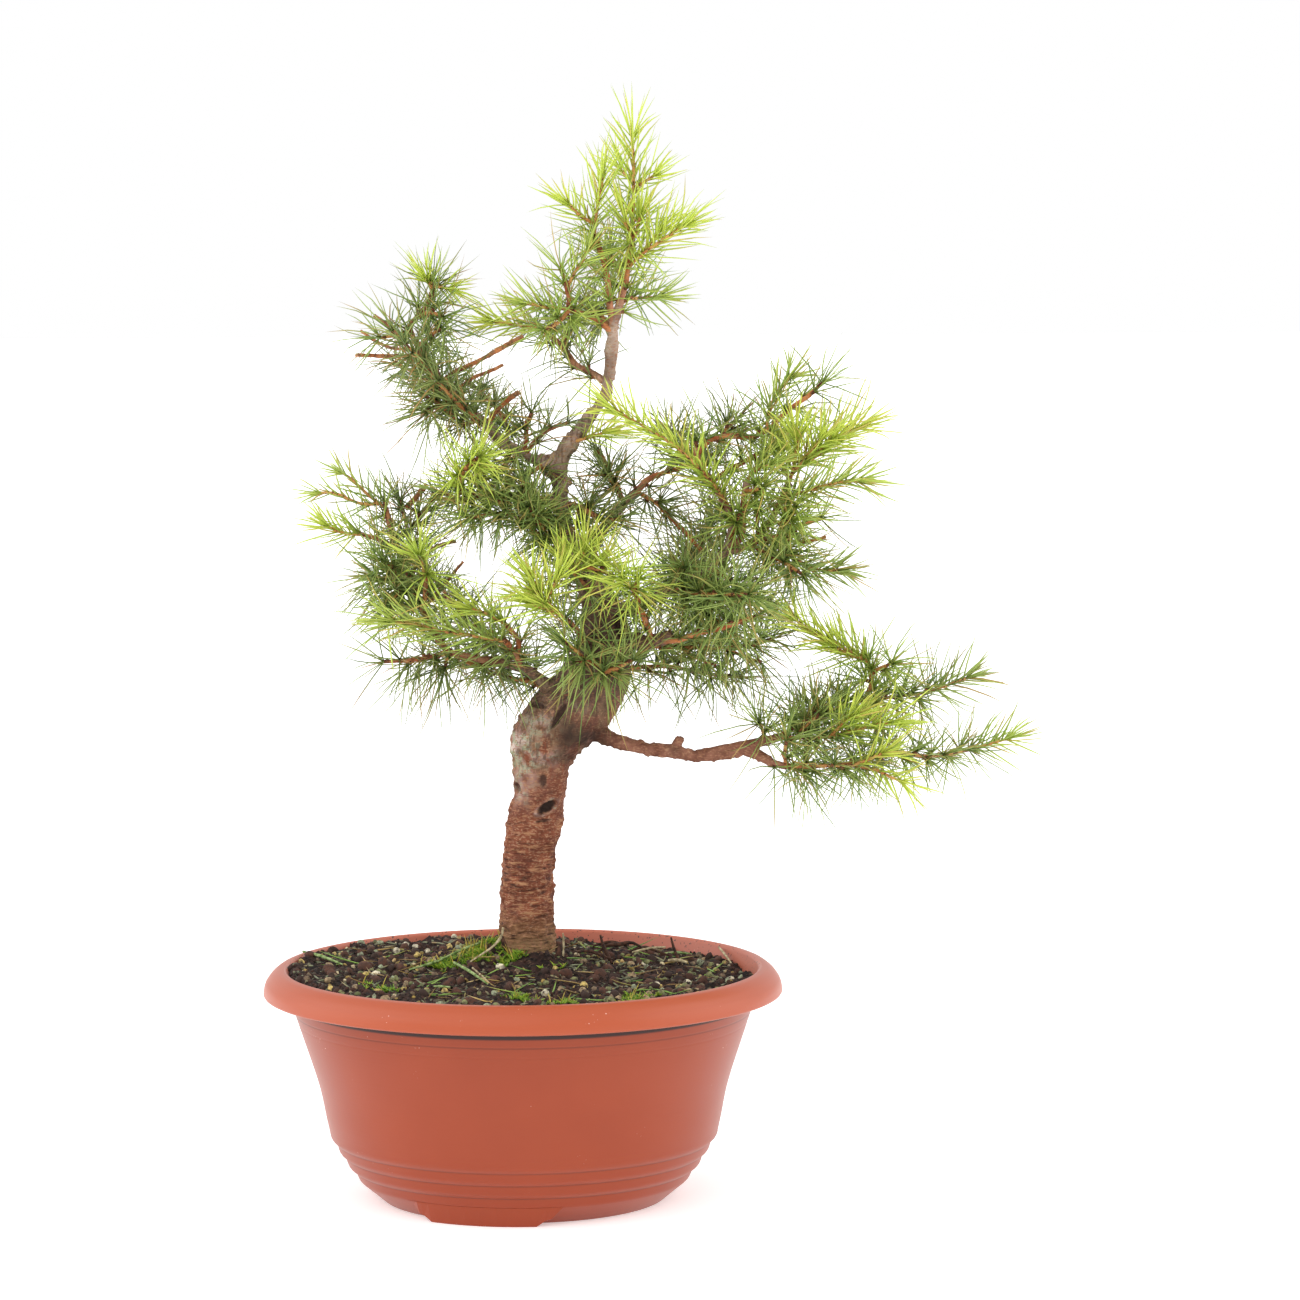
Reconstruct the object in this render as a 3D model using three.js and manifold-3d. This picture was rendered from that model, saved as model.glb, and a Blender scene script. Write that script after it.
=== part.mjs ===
// A larch bonsai in a terracotta-coloured plastic bowl pot. Millimetres, +Z up.
// The origin is the middle of the pot's underside on the ground. +X runs along the long low branch,
// and -Y is the side that the tree is seen from.
import * as THREE from 'three';
import { mergeVertices } from 'three/addons/utils/BufferGeometryUtils.js';
import Module from 'manifold-3d';

const wasm = await Module();
wasm.setup();

// ---------------------------------------------------------------- driving dimensions

const ROUND = 32; // sides of the pot and the soil
const GAP = 0.3; // clearance between solids that touch

// The pot's outline, each point [radius, height]. Outside from the base disc up to the rim's edge.
const RIM_RADIUS = 150;
const POT_HEIGHT = 134.3;
const BASE_RADIUS = 82.4;
const POT_FLOOR = 4.5;
const POT_STEPS = [
  [95.8, 11.5], [98.1, 17], [101.7, 20], [103.7, 25.3], [106.7, 28.2], [108.6, 33.2], [112.6, 40],
];
const POT_WALL = [[120.3, 74], [129.3, 102.5], [132.7, 109], [134, 116.5]];
const POT_RIM = [[142, 128.6], [146.2, 118.4], [RIM_RADIUS, 119.5], [146.6, 130.2], [137.9, POT_HEIGHT]];
const POT_INSIDE = [[131, 116.5], [117.4, 74], [108.5, 41], [88.5, 11.5], [79.5, POT_FLOOR]];

const FOOT_TURNS = [-104, 37, 146.5]; // degrees, the middle of each foot
const FOOT_HALF_WIDTH = 19.5; // degrees on the ground
const FOOT_SPREAD = 9; // degrees that a foot widens by at its top, at each side
const FOOT_SECTION = [[80, 0.5], [81, 0], [92.5, 0], [95.7, 11.4], [92, 10.5]]; // closed, [radius, height]
const FOOT_PARTS = 4;
const DRAIN_COUNT = 4;
const DRAIN_RADIUS = 5.5;
const DRAIN_CIRCLE = 58;

const SOIL_LEVEL = 127.6;
const SOIL_HEAP = 11.5; // rise of the soil at the trunk
const SOIL_HEAP_WIDTH = 42;
const SOIL_FALL = 0.03; // drop per millimetre towards the right
const SOIL_RINGS = 6;
const SOIL_ROUGHNESS = 1.1; // up and down, at each point of the surface
const GRAIN_SHARE = 0.24; // share of every second face of the surface, which rises into a grain
const GRAIN_RISE = 2.2;
const TRUNK_FOOT = new THREE.Vector3(2, 20, 92);
const TRUNK_HOLE_RADIUS = 17.8;

const SAWN_RADIUS = 3; // a limb that ends thicker than this was sawn off flat
// A long shoot is young and carries needles all along; a spur shoot is older and carries them in whorls.
const KINDS = {
  long: { sides: 3, twist: 74, radius: 1.1, tipRadius: 0.8, needleRoot: 1.5 },
  spur: { sides: 5, twist: 36, radius: 1.5, tipRadius: 1.05, needleRoot: 1 },
};
const BARE_FOOT = 3.5; // needle-free length at the foot of a long shoot
const RING_STEP = 4.2; // along it, a needle on each of its sides
const SPREAD_LOW = 62; // degrees between needle and stem at its foot
const SPREAD_HIGH = 34; // and near its tip
const TUFT_SPREAD = 17; // and in the tuft that ends it
const WHORL_STEP = 13.2;
const WHORL_HALF = 0.8; // half the height of the band that a whorl grows from
const WHORL_MARGIN = 5; // bare length at the foot of a spur shoot
const WHORL_BACK = 92; // degrees between stem and the whorl's backward needles
const WHORL_FORWARD = 52;
const WHORL_END = 22; // in the middle of the last whorl
const TRIES = 6; // draws for a needle before its place stays bare
const SEED = 1804;

const POT_MATERIAL = plain(0xc05a42, 0.55);
const SOIL_MATERIAL = plain(0x3a2a22, 0.95);
const BARK_MATERIAL = plain(0x8a5a42, 0.85);
const TONES = {
  lime: plain(0xb9d648, 0.55),
  fresh: plain(0x8fb545, 0.55),
  green: plain(0x6c9140, 0.6),
  deep: plain(0x44652f, 0.6),
};

function plain(color, roughness) {
  return new THREE.MeshStandardMaterial({ color, roughness, metalness: 0 });
}

// ---------------------------------------------------------------- the tree's plan

// Each limb is [sides, [x, y, z, radius], ...], from inside the wood that carries it to its tip.
const TRUNK = [12,
  [2, 20, 92, 13], [2, 20, 112, 16], [2, 20, 132, 17.2], [2, 20, 146, 16], [2, 19.5, 162, 15.8],
  [2.3, 19, 182, 15.1], [4, 18.5, 202, 14.9], [7.5, 18, 220, 14.9], [10.1, 17, 235, 15.1],
  [10.6, 16, 249, 16.3], [12.5, 15, 263, 19.5], [25, 14, 277, 21.3], [37, 13, 292, 20], [45.5, 12, 308, 18],
  [48, 11, 326, 14.8], [45.5, 10, 341, 11], [39, 9, 355, 7], [31.5, 9, 370, 5.2], [26.5, 9, 387, 4.3],
  [23.5, 9, 407, 3.9], [24.5, 8, 426, 4.7], [31, 7, 438, 4.9], [40.5, 6, 450, 4.1], [48.5, 5, 462, 3.5],
  [52, 4, 477, 3.2], [53.5, 3, 492, 3.3], [54.5, 3, 507, 2.8]];

const LIMBS = {
  leader: [5, [54.5, 3, 504, 2.7], [57.5, 2, 514, 2.2], [60.5, 2, 524, 1.9], [62.5, 1, 533, 1.6],
    [64.5, 1, 545, 1.5], [65.5, 0, 560, 1.4], [66, 0, 575, 1.2]],
  topLeft: [5, [54, 3, 503, 2.2], [52, 0, 518, 1.8], [51, -2, 531, 1.7], [48.5, -4, 542, 1.6],
    [44, -7, 554, 1.4]],
  topRightSpur: [4, [56, 3, 509, 1.7], [59, 7, 516, 1.7], [63, 11, 518, 1.3]],
  topBack: [4, [60.5, 2, 523, 1.5], [59, 12, 529, 1.3], [57, 21, 534, 1.1]],
  topTwig: [4, [53.5, 3, 499, 1.8], [46, 0, 505.5, 1.5], [38, -4, 509.5, 1.4], [30, -8, 513, 1.5],
    [29, -9, 520, 1.3], [28, -10, 526.5, 1.7], [26, -10, 532.5, 1.1]],
  crownLeft: [5, [50.5, 5, 470, 2.3], [41, 9, 476, 2], [33, 13, 479.5, 1.9], [29.5, 15, 484, 1.8],
    [25, 17, 490, 1.8], [18, 20, 496.5, 1.7], [12, 22, 501, 1.4]],
  crownLeftFork: [4, [25, 17, 490, 1.4], [28, 22, 496, 1.3], [31, 27, 501, 1.1]],

  upperLeft: [6, [25, 8, 427, 4.2], [13, 11, 425, 3.6], [1, 13, 430, 3.2], [-10, 14, 436, 3],
    [-19, 14, 446, 2.8], [-29, 13, 453, 2.6], [-38, 12, 462, 2.4], [-45, 11, 472, 2.2], [-51, 10, 482, 2],
    [-58, 9, 492, 1.8], [-62, 8, 502, 1.6], [-57, 7, 509, 1.5], [-51.5, 6.5, 516, 1.5], [-49, 6, 522, 1.9]],
  bareStubA: [4, [-19, 14, 446, 1.6], [-13, 11, 454, 1.5], [-7, 8, 460, 1.6], [0, 5, 465, 1.5]],
  bareStubB: [4, [-44, 11, 471, 1.5], [-36, 8, 477, 1.4], [-29, 6, 480, 1.5], [-21, 4, 484, 1.2],
    [-13, 2, 488.5, 1.5], [-4, 0, 493.5, 1.5], [3, -1, 497, 1.3]],
  bareStubD: [4, [2, 13, 430, 1.7], [4, 10, 437, 1.3], [4, 9, 445, 1.3], [6, 8, 450, 1.6]],
  bareStubE: [4, [4, 12, 430, 1.6], [11, 7, 439, 1.3], [18, 5, 444, 1.3], [25, 4, 446.5, 1.1]],
  bareStubF: [4, [-55, 10, 487, 1.4], [-66, 6, 486, 1.2], [-75, 3, 486, 1.3], [-85, 1, 486.5, 1.1],
    [-93, 0, 487, 1]],
  bareStubG: [4, [-60, 9, 497, 1.3], [-69, 12, 499, 1.1], [-76, 15, 504, 1.2], [-83, 16, 509, 1]],
  bareStubI: [4, [-24, 14, 449, 1.5], [-31, 6, 447, 1.2], [-38, 2, 452, 1.1], [-45, -1, 458, 1.1],
    [-51, -3, 462, 1]],

  middleLeft: [5, [24, 9, 404, 2.8], [14, 6, 403, 2.3], [4, 2, 404.5, 2], [-8, -2, 405, 1.9],
    [-20, -5, 406, 1.7], [-31, -8, 408.5, 1.5]],

  lowLeft: [6, [16, 10, 295, 4.6], [7, 6, 303, 3.3], [-1, 2, 307, 2.7], [-12, -2, 310.5, 2.3],
    [-26, -4, 313, 2.1], [-41, -4, 317, 2], [-49, -2, 327, 1.9], [-56, 2, 341, 1.9], [-63, 6, 358, 1.9],
    [-70, 8, 375, 1.9], [-74.5, 8, 388, 1.9], [-77, 8, 399, 1.6]],
  lowLeftFork: [4, [-1, 2, 307, 2.2], [-2, -9, 315, 1.8], [-8, -19, 324, 1.6]],
  freshFork: [4, [-2, -9, 315, 1.7], [-1, -13, 324, 1.5], [-7, -19, 333, 1.3]],
  hangingTwig: [4, [-41, -4, 317, 1.6], [-50, -9, 314.8, 1.3], [-61, -13, 313.2, 1.3],
    [-75, -17, 312.8, 1.1]],
  sideTwig: [4, [-70, 8, 376, 1.6], [-79, 4, 380, 1.4], [-89, 0, 384, 1.2]],
  rosetteTwig: [4, [-56, 2, 341, 1.6], [-54, -13, 349, 1.4], [-53, -24, 360, 1.2]],
  bareStubL: [4, [-63, 7, 360, 1.3], [-56, 11, 370, 1.1], [-48, 13, 376, 1.1], [-37, 15, 379, 0.9]],

  frontLeft: [5, [42, 6, 319, 3.4], [38, -9, 323, 2.2], [33, -21, 330, 1.6], [28, -29, 337, 1.3]],
  frontTop: [4, [41, 5, 349, 2.4], [38, -7, 354, 1.6], [34, -15, 359, 1.3]],

  inner: [5, [38, 10, 356, 4], [41, 14, 371, 3.5], [46, 18, 382, 3.2], [52, 21, 391, 2.8],
    [59, 24, 398.5, 2.4], [67, 27, 406, 2], [73, 30, 412, 1.8], [80, 33, 415.5, 1.5], [91, 36, 418.5, 1.2]],
  innerUp: [4, [60, 24, 399, 1.6], [56, 20, 409, 1.4], [51, 17, 419, 1.4], [46, 14, 429, 1.2]],
  innerCross: [4, [25, 9, 401, 2.1], [34, 5, 399, 1.8], [42, 1, 395, 1.7], [50, -3, 391.5, 1.6],
    [54, -5, 392.5, 1.2]],

  right: [6, [49, 11, 334, 5], [62, 6, 340, 4], [78, 4, 347, 3.5], [95, 6, 355, 3], [110, 9, 364, 2.7],
    [119.5, 11, 376, 2.5], [121.5, 10, 389, 2.3], [117.5, 8, 401, 2.1], [110, 5, 413, 1.9],
    [103, 3, 424, 1.8], [101.5, 3, 433, 1.9]],
  rightUpper: [5, [102, 3, 429, 1.7], [108, 4, 436, 1.5], [116, 6, 438.5, 1.5], [124, 8, 439, 1.7],
    [134, 10, 438.5, 1.4], [142, 11, 442, 1.4], [150, 12, 449.5, 1.3], [158, 13, 456, 1.3],
    [166, 14, 461.5, 1.4], [172, 14, 467, 1.1]],
  rightKnob: [5, [119.5, 11, 374, 2.1], [127, 4, 381, 1.9], [128, 2, 392, 1.8], [128.5, 0, 404, 1.8],
    [130.5, -2, 414, 2.5]],
  rightOuter: [5, [118.5, 10, 372, 2.3], [131, 11, 376, 2.1], [141, 8, 386, 2], [147, 6, 396, 2],
    [151, 4, 404, 2.1], [154.5, 2, 412, 2.5]],
  rightInner: [4, [110, 5, 413, 1.6], [120, 13, 419, 1.4], [130, 19, 424, 1.4], [140, 23, 429.5, 1.2]],
  bareStubM: [4, [133, 11, 378, 1.8], [142, 16, 379, 1.5], [150, 20, 381, 1.4], [158, 23, 384.5, 1.3],
    [164, 25, 387, 1.3], [171, 27, 389, 1]],
  bareStubN: [4, [150, 20, 381, 1.3], [159, 18, 377, 1.1], [168, 17, 378, 1], [176, 16, 380, 0.9]],
  cutStub: [6, [57, 8, 321, 5], [67, 0, 321, 4.2], [77, -6, 322.5, 3.7], [87, -9, 325.5, 3.7]],
  frontRosette: [4, [75, -5, 323, 2], [73, -16, 331, 1.6], [70, -25, 341, 1.6], [67, -33, 350, 1.3]],
  bareStubO: [4, [80, -7, 323, 2.2], [91, -15, 324, 1.6], [101, -21, 328, 1.4], [112, -25, 331, 1.4],
    [122, -29, 334.5, 1.5], [132, -32, 338, 1.2]],

  low: [6, [28, 14, 269, 8], [42, 12, 267, 5.6], [51, 10, 264.5, 4.8], [62, 8, 261.3, 4.1],
    [75, 5, 258.9, 3.7], [88, 2, 257.8, 3.5], [101, -1, 255.8, 3.4], [115, -3, 256.8, 3.5],
    [129, -5, 260, 3.6], [138, -5, 264, 2.7], [148, -4, 266.5, 2.4]],
  lowFront: [5, [126, -5, 260, 3.2], [136, -8, 256.5, 2.8], [144, -11, 252.5, 2.2], [152, -14, 250.8, 2]],
  lowStub: [5, [88.5, 2, 258, 2.6], [90, 1.5, 262.5, 2.2], [92, 1.5, 265, 1.8]],
};

// Each spray is [tone, shoot, shoot, ...]. A shoot is [kind, needle length, [x, y, z], ...]: 'long' has
// needles all along a young stem, 'spur' has a rosette every few millimetres along an older one.
// The first shoot of a spray starts on the wood, the others on the first one's stem.
const SPRAYS = {
  apex: ['lime', ['long', 25, [66, 0, 576], [66.5, 0, 590], [66, 0, 603], [66, 0, 614]],
    ['long', 22, [66.2, 0, 581], [73, -7, 585], [81, -13, 590]],
    ['long', 22, [66.3, 0, 584], [62, 10, 588], [57, 20, 594]]],
  top_front: ['lime', ['long', 23, [65, -1, 549], [68, -9, 558], [71, -14, 569]],
    ['spur', 22, [66, -4, 552], [64, -11, 549]]],
  top_right: ['lime', ['long', 24, [63, 0, 536], [71, -13, 544], [81, -22, 551], [90, -28, 557],
    [98, -32, 562]]],
  top_left: ['lime', ['long', 23, [44, -7, 555], [45, -9, 566], [47, -9, 577], [50, -9, 592]],
    ['long', 20, [44.5, -8.5, 561], [36, -15, 566], [28, -22, 575], [22, -26, 581]]],
  top_left_low: ['fresh', ['long', 20, [28.5, -9, 526], [33, -14, 534], [38, -16, 542], [42, -16, 550]]],
  top_low_right: ['fresh', ['long', 22, [62, 11, 518], [73, 19, 518], [83, 26, 518.5]]],
  top_back: ['green', ['spur', 22, [57, 21, 534], [54, 28, 539], [50, 35, 543]]],
  crown_dark: ['deep', ['spur', 21, [53, 4, 502], [47, 14, 508], [41, 22, 513]]],
  crown_left_tuft: ['fresh', ['long', 21, [30, -8, 513], [17, -14, 514], [8, -18, 516], [1, -21, 517]]],
  crown_left_tip: ['lime', ['long', 20, [12, 22, 501], [0, 25, 502.5], [-10, 28, 504], [-19, 30, 505]]],
  crown_left_dark: ['deep', ['spur', 20, [31, 27, 501], [33, 33, 505], [34, 39, 508]]],

  upper_top: ['lime', ['spur', 20, [-49, 6, 523], [-49, 6, 527], [-50, 6, 531]],
    ['long', 19, [-49, 6, 526], [-43, 2, 525], [-36, -2, 524]]],
  upper_front: ['deep', ['spur', 22, [-20, 12, 446], [-27, 2, 452], [-37, -8, 462], [-47, -16, 474],
    [-55, -21, 485], [-63, -28, 494]]],
  upper_left: ['green', ['spur', 23, [-62, 9, 500], [-70, 3, 498], [-78, -2, 497]]],
  upper_middle: ['deep', ['spur', 23, [-38, 11, 461], [-46, 3, 458], [-52, -4, 455]]],
  upper_back: ['deep', ['spur', 23, [-29, 14, 453], [-37, 24, 461], [-48, 33, 468], [-60, 40, 474],
    [-72, 46, 480]]],
  upper_rear: ['deep', ['spur', 23, [-9, 14, 435], [-7, 26, 442], [-11, 38, 450], [-19, 48, 459],
    [-29, 58, 467]]],

  middle_rosette: ['lime', ['spur', 21, [-31, -8, 408.5], [-33, -14, 415], [-31, -20, 422], [-28, -25, 427]]],
  middle_left: ['green', ['spur', 22, [-21, -5, 406], [-32, 1, 404], [-43, 5, 407]],
    ['spur', 22, [-27, -2, 405], [-23, 10, 409], [-21, 21, 414]]],
  middle_tip: ['green', ['spur', 20, [28, 8, 378], [19, 2, 379], [10, -3, 385], [2, -7, 392], [-6, -10, 398],
    [-13, -17, 406]], ['spur', 20, [-5, -9, 397], [-17, -12, 396], [-27, -15, 395]]],

  left_old: ['fresh', ['long', 16, [-77, 8, 399], [-86, 8, 405.5], [-96, 8, 415], [-105, 8, 421.5]],
    ['long', 16, [-80, 8, 401], [-92, 2, 402], [-105, -2, 408], [-118, -4, 408.5]]],
  left_side: ['lime', ['long', 19, [-89, 0, 384], [-101, -4, 385.5], [-113, -8, 391]]],
  left_rosette: ['lime', ['spur', 25, [-53, -24, 360], [-54, -29, 367], [-56, -34, 374]]],
  left_mass: ['green', ['spur', 24, [-63, 6, 357], [-73, 1, 357], [-82, -4, 360]],
    ['spur', 24, [-69, 3, 357], [-70, -8, 351], [-74, -17, 347]]],
  left_mass_rear: ['deep', ['spur', 23, [-57, 3, 343], [-62, 15, 347], [-68, 26, 352]]],
  left_dark: ['deep', ['spur', 20, [-65, 7, 362], [-63, 15, 373], [-65, 19, 386], [-69, 22, 402]],
    ['spur', 20, [-64, 18, 384], [-57, 20, 393], [-50, 21, 402]]],
  left_long: ['fresh', ['long', 23, [-8, -19, 324], [-24, -29, 328], [-40, -35, 331], [-58, -39, 336],
    [-75, -41, 338.5]]],
  left_fresh: ['lime', ['long', 21, [-7, -19, 333], [-17, -25, 340], [-31, -31, 345.5]]],
  left_hanging: ['deep', ['spur', 27, [-41, -5, 316], [-43, -9, 309]]],
  left_under: ['deep', ['spur', 22, [13, 13, 294], [3, 16, 297.5], [-8, 20, 299.5], [-21, 26, 303],
    [-35, 32, 309]], ['spur', 22, [-20, 25, 303], [-30, 17, 308], [-38, 11, 313]]],
  left_rear: ['deep', ['spur', 24, [14, 14, 299], [1, 28, 306], [-13, 42, 314], [-27, 55, 324],
    [-39, 65, 336], [-51, 76, 350]]],

  centre_left: ['lime', ['long', 24, [28, -29, 337], [21, -36, 343], [13, -42, 350]]],
  centre_top: ['lime', ['long', 22, [34, -15, 359], [29, -22, 366], [25, -27, 374]],
    ['long', 22, [31, -19, 363], [38, -25, 367], [45, -30, 370]]],
  centre_rosette: ['lime', ['spur', 23, [67, -33, 350], [66, -38, 356], [68, -43, 361]]],
  centre_low: ['green', ['spur', 24, [50, 0, 309], [50, -9, 307], [48, -17, 306]],
    ['spur', 25, [50, -7, 307.5], [41, -15, 311], [32, -22, 313]]],
  centre_rear: ['deep', ['spur', 25, [47, 15, 316], [49, 31, 325], [45, 48, 335], [38, 63, 347],
    [29, 77, 362]]],

  diagonal: ['lime', ['long', 22, [119, 7, 400], [113, -6, 410], [104, -15, 421], [92, -22, 433],
    [78, -27, 443], [63, -31, 452], [51, -33, 459]]],
  right_knob: ['fresh', ['long', 20, [131, -2, 415], [132.5, -3.5, 418], [138, -7, 421.5], [147, -12, 425]]],
  right_top: ['lime', ['long', 26, [155, 2, 413], [158, -4, 428], [159, -8, 444]],
    ['long', 25, [156, 0, 419], [170, 8, 427], [184, 12, 438], [197, 14, 445]]],
  right_out: ['fresh', ['long', 23, [151, 4, 404], [161, -4, 407], [179, -13, 413], [197, -19, 415]]],
  right_upright: ['fresh', ['long', 20, [142, 11, 442], [144, 16, 455], [150, 19, 465], [158, 21, 475]]],
  right_dark: ['deep', ['spur', 22, [116, 6, 438], [119, 15, 443], [124, 24, 447]]],
  right_inner: ['lime', ['long', 21, [140, 23, 429.5], [147, 27, 434], [153, 30, 440]]],
  right_web: ['deep', ['spur', 22, [91, 36, 418.5], [99, 39, 421], [106, 42, 425]],
    ['spur', 22, [93, 37, 419], [92, 41, 429], [87, 43, 438]]],
  inner_dark: ['deep', ['spur', 22, [67, 27, 406], [77, 24, 400], [85, 21, 393], [94, 17, 384],
    [102, 13, 375]]],
  right_mass: ['green', ['spur', 24, [93, 5, 353], [99, -2, 345], [109, -8, 337], [120, -13, 329]]],
  right_mass_rear: ['deep', ['spur', 24, [109, 10, 363], [119, 20, 356], [130, 28, 348], [141, 34, 339]]],
  right_spray: ['green', ['long', 22, [142, 16, 379], [154, 13, 370], [170, 10, 362], [187, 7, 361.5]]],
  right_front: ['green', ['spur', 27, [88, 5, 352], [97, -8, 350.5], [107, -20, 350.5], [118, -31, 351.5],
    [130, -43, 352.5]]],
  right_back: ['deep', ['spur', 25, [80, 5, 348], [87, 21, 351], [95, 38, 356], [101, 54, 363],
    [106, 70, 373], [112, 83, 385]]],
  right_low: ['green', ['spur', 22, [66, 1, 321], [79, 8, 318], [92, 12, 317], [105, 14, 316.5],
    [118, 15, 316.5], [131, 16, 317.5], [144, 17, 321]]],
  right_low_rear: ['deep', ['spur', 24, [58, 13, 305], [71, 20, 305], [84, 26, 304.5], [97, 30, 302],
    [110, 34, 299], [125, 38, 297]]],

  low_tip: ['lime', ['spur', 22, [152, -14, 251], [164, -17, 250.8], [178, -20, 252], [190, -22, 252]],
    ['long', 21, [189, -22, 252], [202, -24, 250], [212, -26, 245.5], [221, -27, 242]]],
  low_middle: ['lime', ['spur', 23, [148, -5, 266.5], [158, -6, 266.5], [168, -8, 266.5], [177, -9, 267]],
    ['long', 24, [176, -9, 267], [190, -13, 271], [204, -17, 275], [215, -20, 277]]],
  low_rear: ['green', ['spur', 22, [147, -3, 266.5], [157, 4, 271], [168, 11, 277], [182, 18, 280.5],
    [197, 23, 284], [213, 29, 285.5], [230, 34, 287], [240, 37, 289]],
    ['long', 20, [239, 37, 289], [252, 40, 293], [263, 42, 297]]],
  low_riser: ['lime', ['spur', 22, [198, 23, 284], [201.5, 22, 292], [202, 20, 300], [200, 18, 308]],
    ['long', 22, [200.5, 18.3, 307], [188, 12, 315], [172, 6, 324], [154, 1, 336]]],
  low_far: ['fresh', ['spur', 21, [179, -20, 252], [192, -14, 253.2], [207, -8, 255.5], [222, -3, 256],
    [236, 1, 254.5], [257, 6, 257.3]], ['long', 20, [256, 6, 257.3], [268, 7, 260], [284, 9, 264.5]]],
};

// ---------------------------------------------------------------- chance, solids and skins

function seeded(seed) {
  let state = seed;
  return () => {
    state = (state + 0x6d2b79f5) | 0;
    let mixed = Math.imul(state ^ (state >>> 15), 1 | state);
    mixed = (mixed + Math.imul(mixed ^ (mixed >>> 7), 61 | mixed)) ^ mixed;
    return ((mixed ^ (mixed >>> 14)) >>> 0) / 4294967296;
  };
}

const random = seeded(SEED);
const jitter = (span) => (random() * 2 - 1) * span;
const vector = ([x, y, z]) => new THREE.Vector3(x, y, z);

function geometryOf(faces) {
  return new THREE.BufferGeometry().setFromPoints(faces.flat());
}

function toSolid(geometry) {
  const bare = geometry.clone();
  bare.deleteAttribute('normal');
  bare.deleteAttribute('uv');
  const merged = mergeVertices(bare, 1e-4);
  const vertProperties = merged.attributes.position.array;
  const triVerts = new Uint32Array(merged.index.array);
  return new wasm.Manifold(new wasm.Mesh({ numProp: 3, vertProperties, triVerts }));
}

function toGeometry(solid) {
  const { vertProperties, triVerts } = solid.getMesh();
  const geometry = new THREE.BufferGeometry();
  geometry.setAttribute('position', new THREE.BufferAttribute(vertProperties, 3));
  geometry.setIndex(new THREE.BufferAttribute(triVerts, 1));
  return geometry;
}

function joined(solids) {
  return solids.reduce((whole, solid) => whole.add(solid));
}

function named(name, solid, material) {
  const mesh = new THREE.Mesh(toGeometry(solid), material);
  mesh.name = name;
  return mesh;
}

// Direction and two cross directions at each point of a path, carried along it without twist.
function framesAlong(points) {
  const frames = [];
  points.forEach((point, i) => {
    const arriving = point.clone().sub(points[Math.max(i - 1, 0)]).normalize();
    const leaving = points[Math.min(i + 1, points.length - 1)].clone().sub(point).normalize();
    const along = arriving.add(leaving).normalize();
    const last = frames[i - 1];
    const side = last
      ? last.side.clone().applyQuaternion(new THREE.Quaternion().setFromUnitVectors(last.along, along))
      : new THREE.Vector3(Math.abs(along.z) > 0.9 ? 1 : 0, 0, Math.abs(along.z) > 0.9 ? 0 : 1)
        .cross(along).normalize();
    frames.push({ point, along, side, up: along.clone().cross(side) });
  });
  return frames;
}

function ring({ point, side, up }, radius, sides, turn = 0) {
  return Array.from({ length: sides }, (_, j) => {
    const angle = turn + (2 * Math.PI * j) / sides;
    return point.clone()
      .addScaledVector(side, radius * Math.cos(angle))
      .addScaledVector(up, radius * Math.sin(angle));
  });
}

// Faces over a row of equal rings, with a fan at each end. The faces of a band that stand on its lower
// ring, those that hang from its upper ring, and the last fan's pass through grow, which may raise
// something from them.
function skin(rings, tail, nose, grow = (face) => [face]) {
  const faces = [];
  const sides = rings[0].length;
  for (let j = 0; j < sides; j += 1) {
    const next = (j + 1) % sides;
    faces.push([tail, rings[0][next], rings[0][j]]);
    for (let k = 0; k < rings.length - 1; k += 1) {
      const [low, high] = [rings[k], rings[k + 1]];
      faces.push(...grow([low[j], low[next], high[j]], k, true));
      faces.push(...grow([low[next], high[next], high[j]], k, false));
    }
    faces.push(...grow([nose, rings.at(-1)[j], rings.at(-1)[next]], rings.length - 1, true));
  }
  return faces;
}

// ---------------------------------------------------------------- room between the parts of the tree

// A rod runs from a to b with radius ra to rb. Wood and stems come first, then needle after needle.
const woodRods = [];
const stemRods = [];
const needleRods = [];

// Gap between two tapered rods at their closest approach.
function gapBetween(p, q) {
  const d1 = p.b.clone().sub(p.a);
  const d2 = q.b.clone().sub(q.a);
  const r = p.a.clone().sub(q.a);
  const [a, e, f, b, c] = [d1.dot(d1), d2.dot(d2), d2.dot(r), d1.dot(d2), d1.dot(r)];
  const spread = a * e - b * b;
  const within = (value) => Math.min(1, Math.max(0, value));
  let s = spread > 1e-9 ? within((b * f - c * e) / spread) : 0;
  let t = (b * s + f) / e;
  if (t < 0 || t > 1) {
    t = within(t);
    s = within((b * t - c) / a);
  }
  const between = r.addScaledVector(d1, s).addScaledVector(d2, -t).length();
  return between - THREE.MathUtils.lerp(p.ra, p.rb, s) - THREE.MathUtils.lerp(q.ra, q.rb, t);
}

// The part of a needle beyond its root, which is free of its own stem and of its neighbours' roots.
function beyondRoot({ a, b, ra, rb }) {
  return { a: a.clone().lerp(b, 0.3), b, ra: THREE.MathUtils.lerp(ra, rb, 0.3), rb };
}

function reach(rod) {
  return rod.a.distanceTo(rod.b) / 2 + Math.max(rod.ra, rod.rb) + GAP;
}

function apart(p, q) {
  return p.middle.distanceTo(q.middle) > p.reach + q.reach;
}

function measured(rod) {
  return { ...rod, middle: rod.a.clone().add(rod.b).divideScalar(2), reach: reach(rod) };
}

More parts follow.
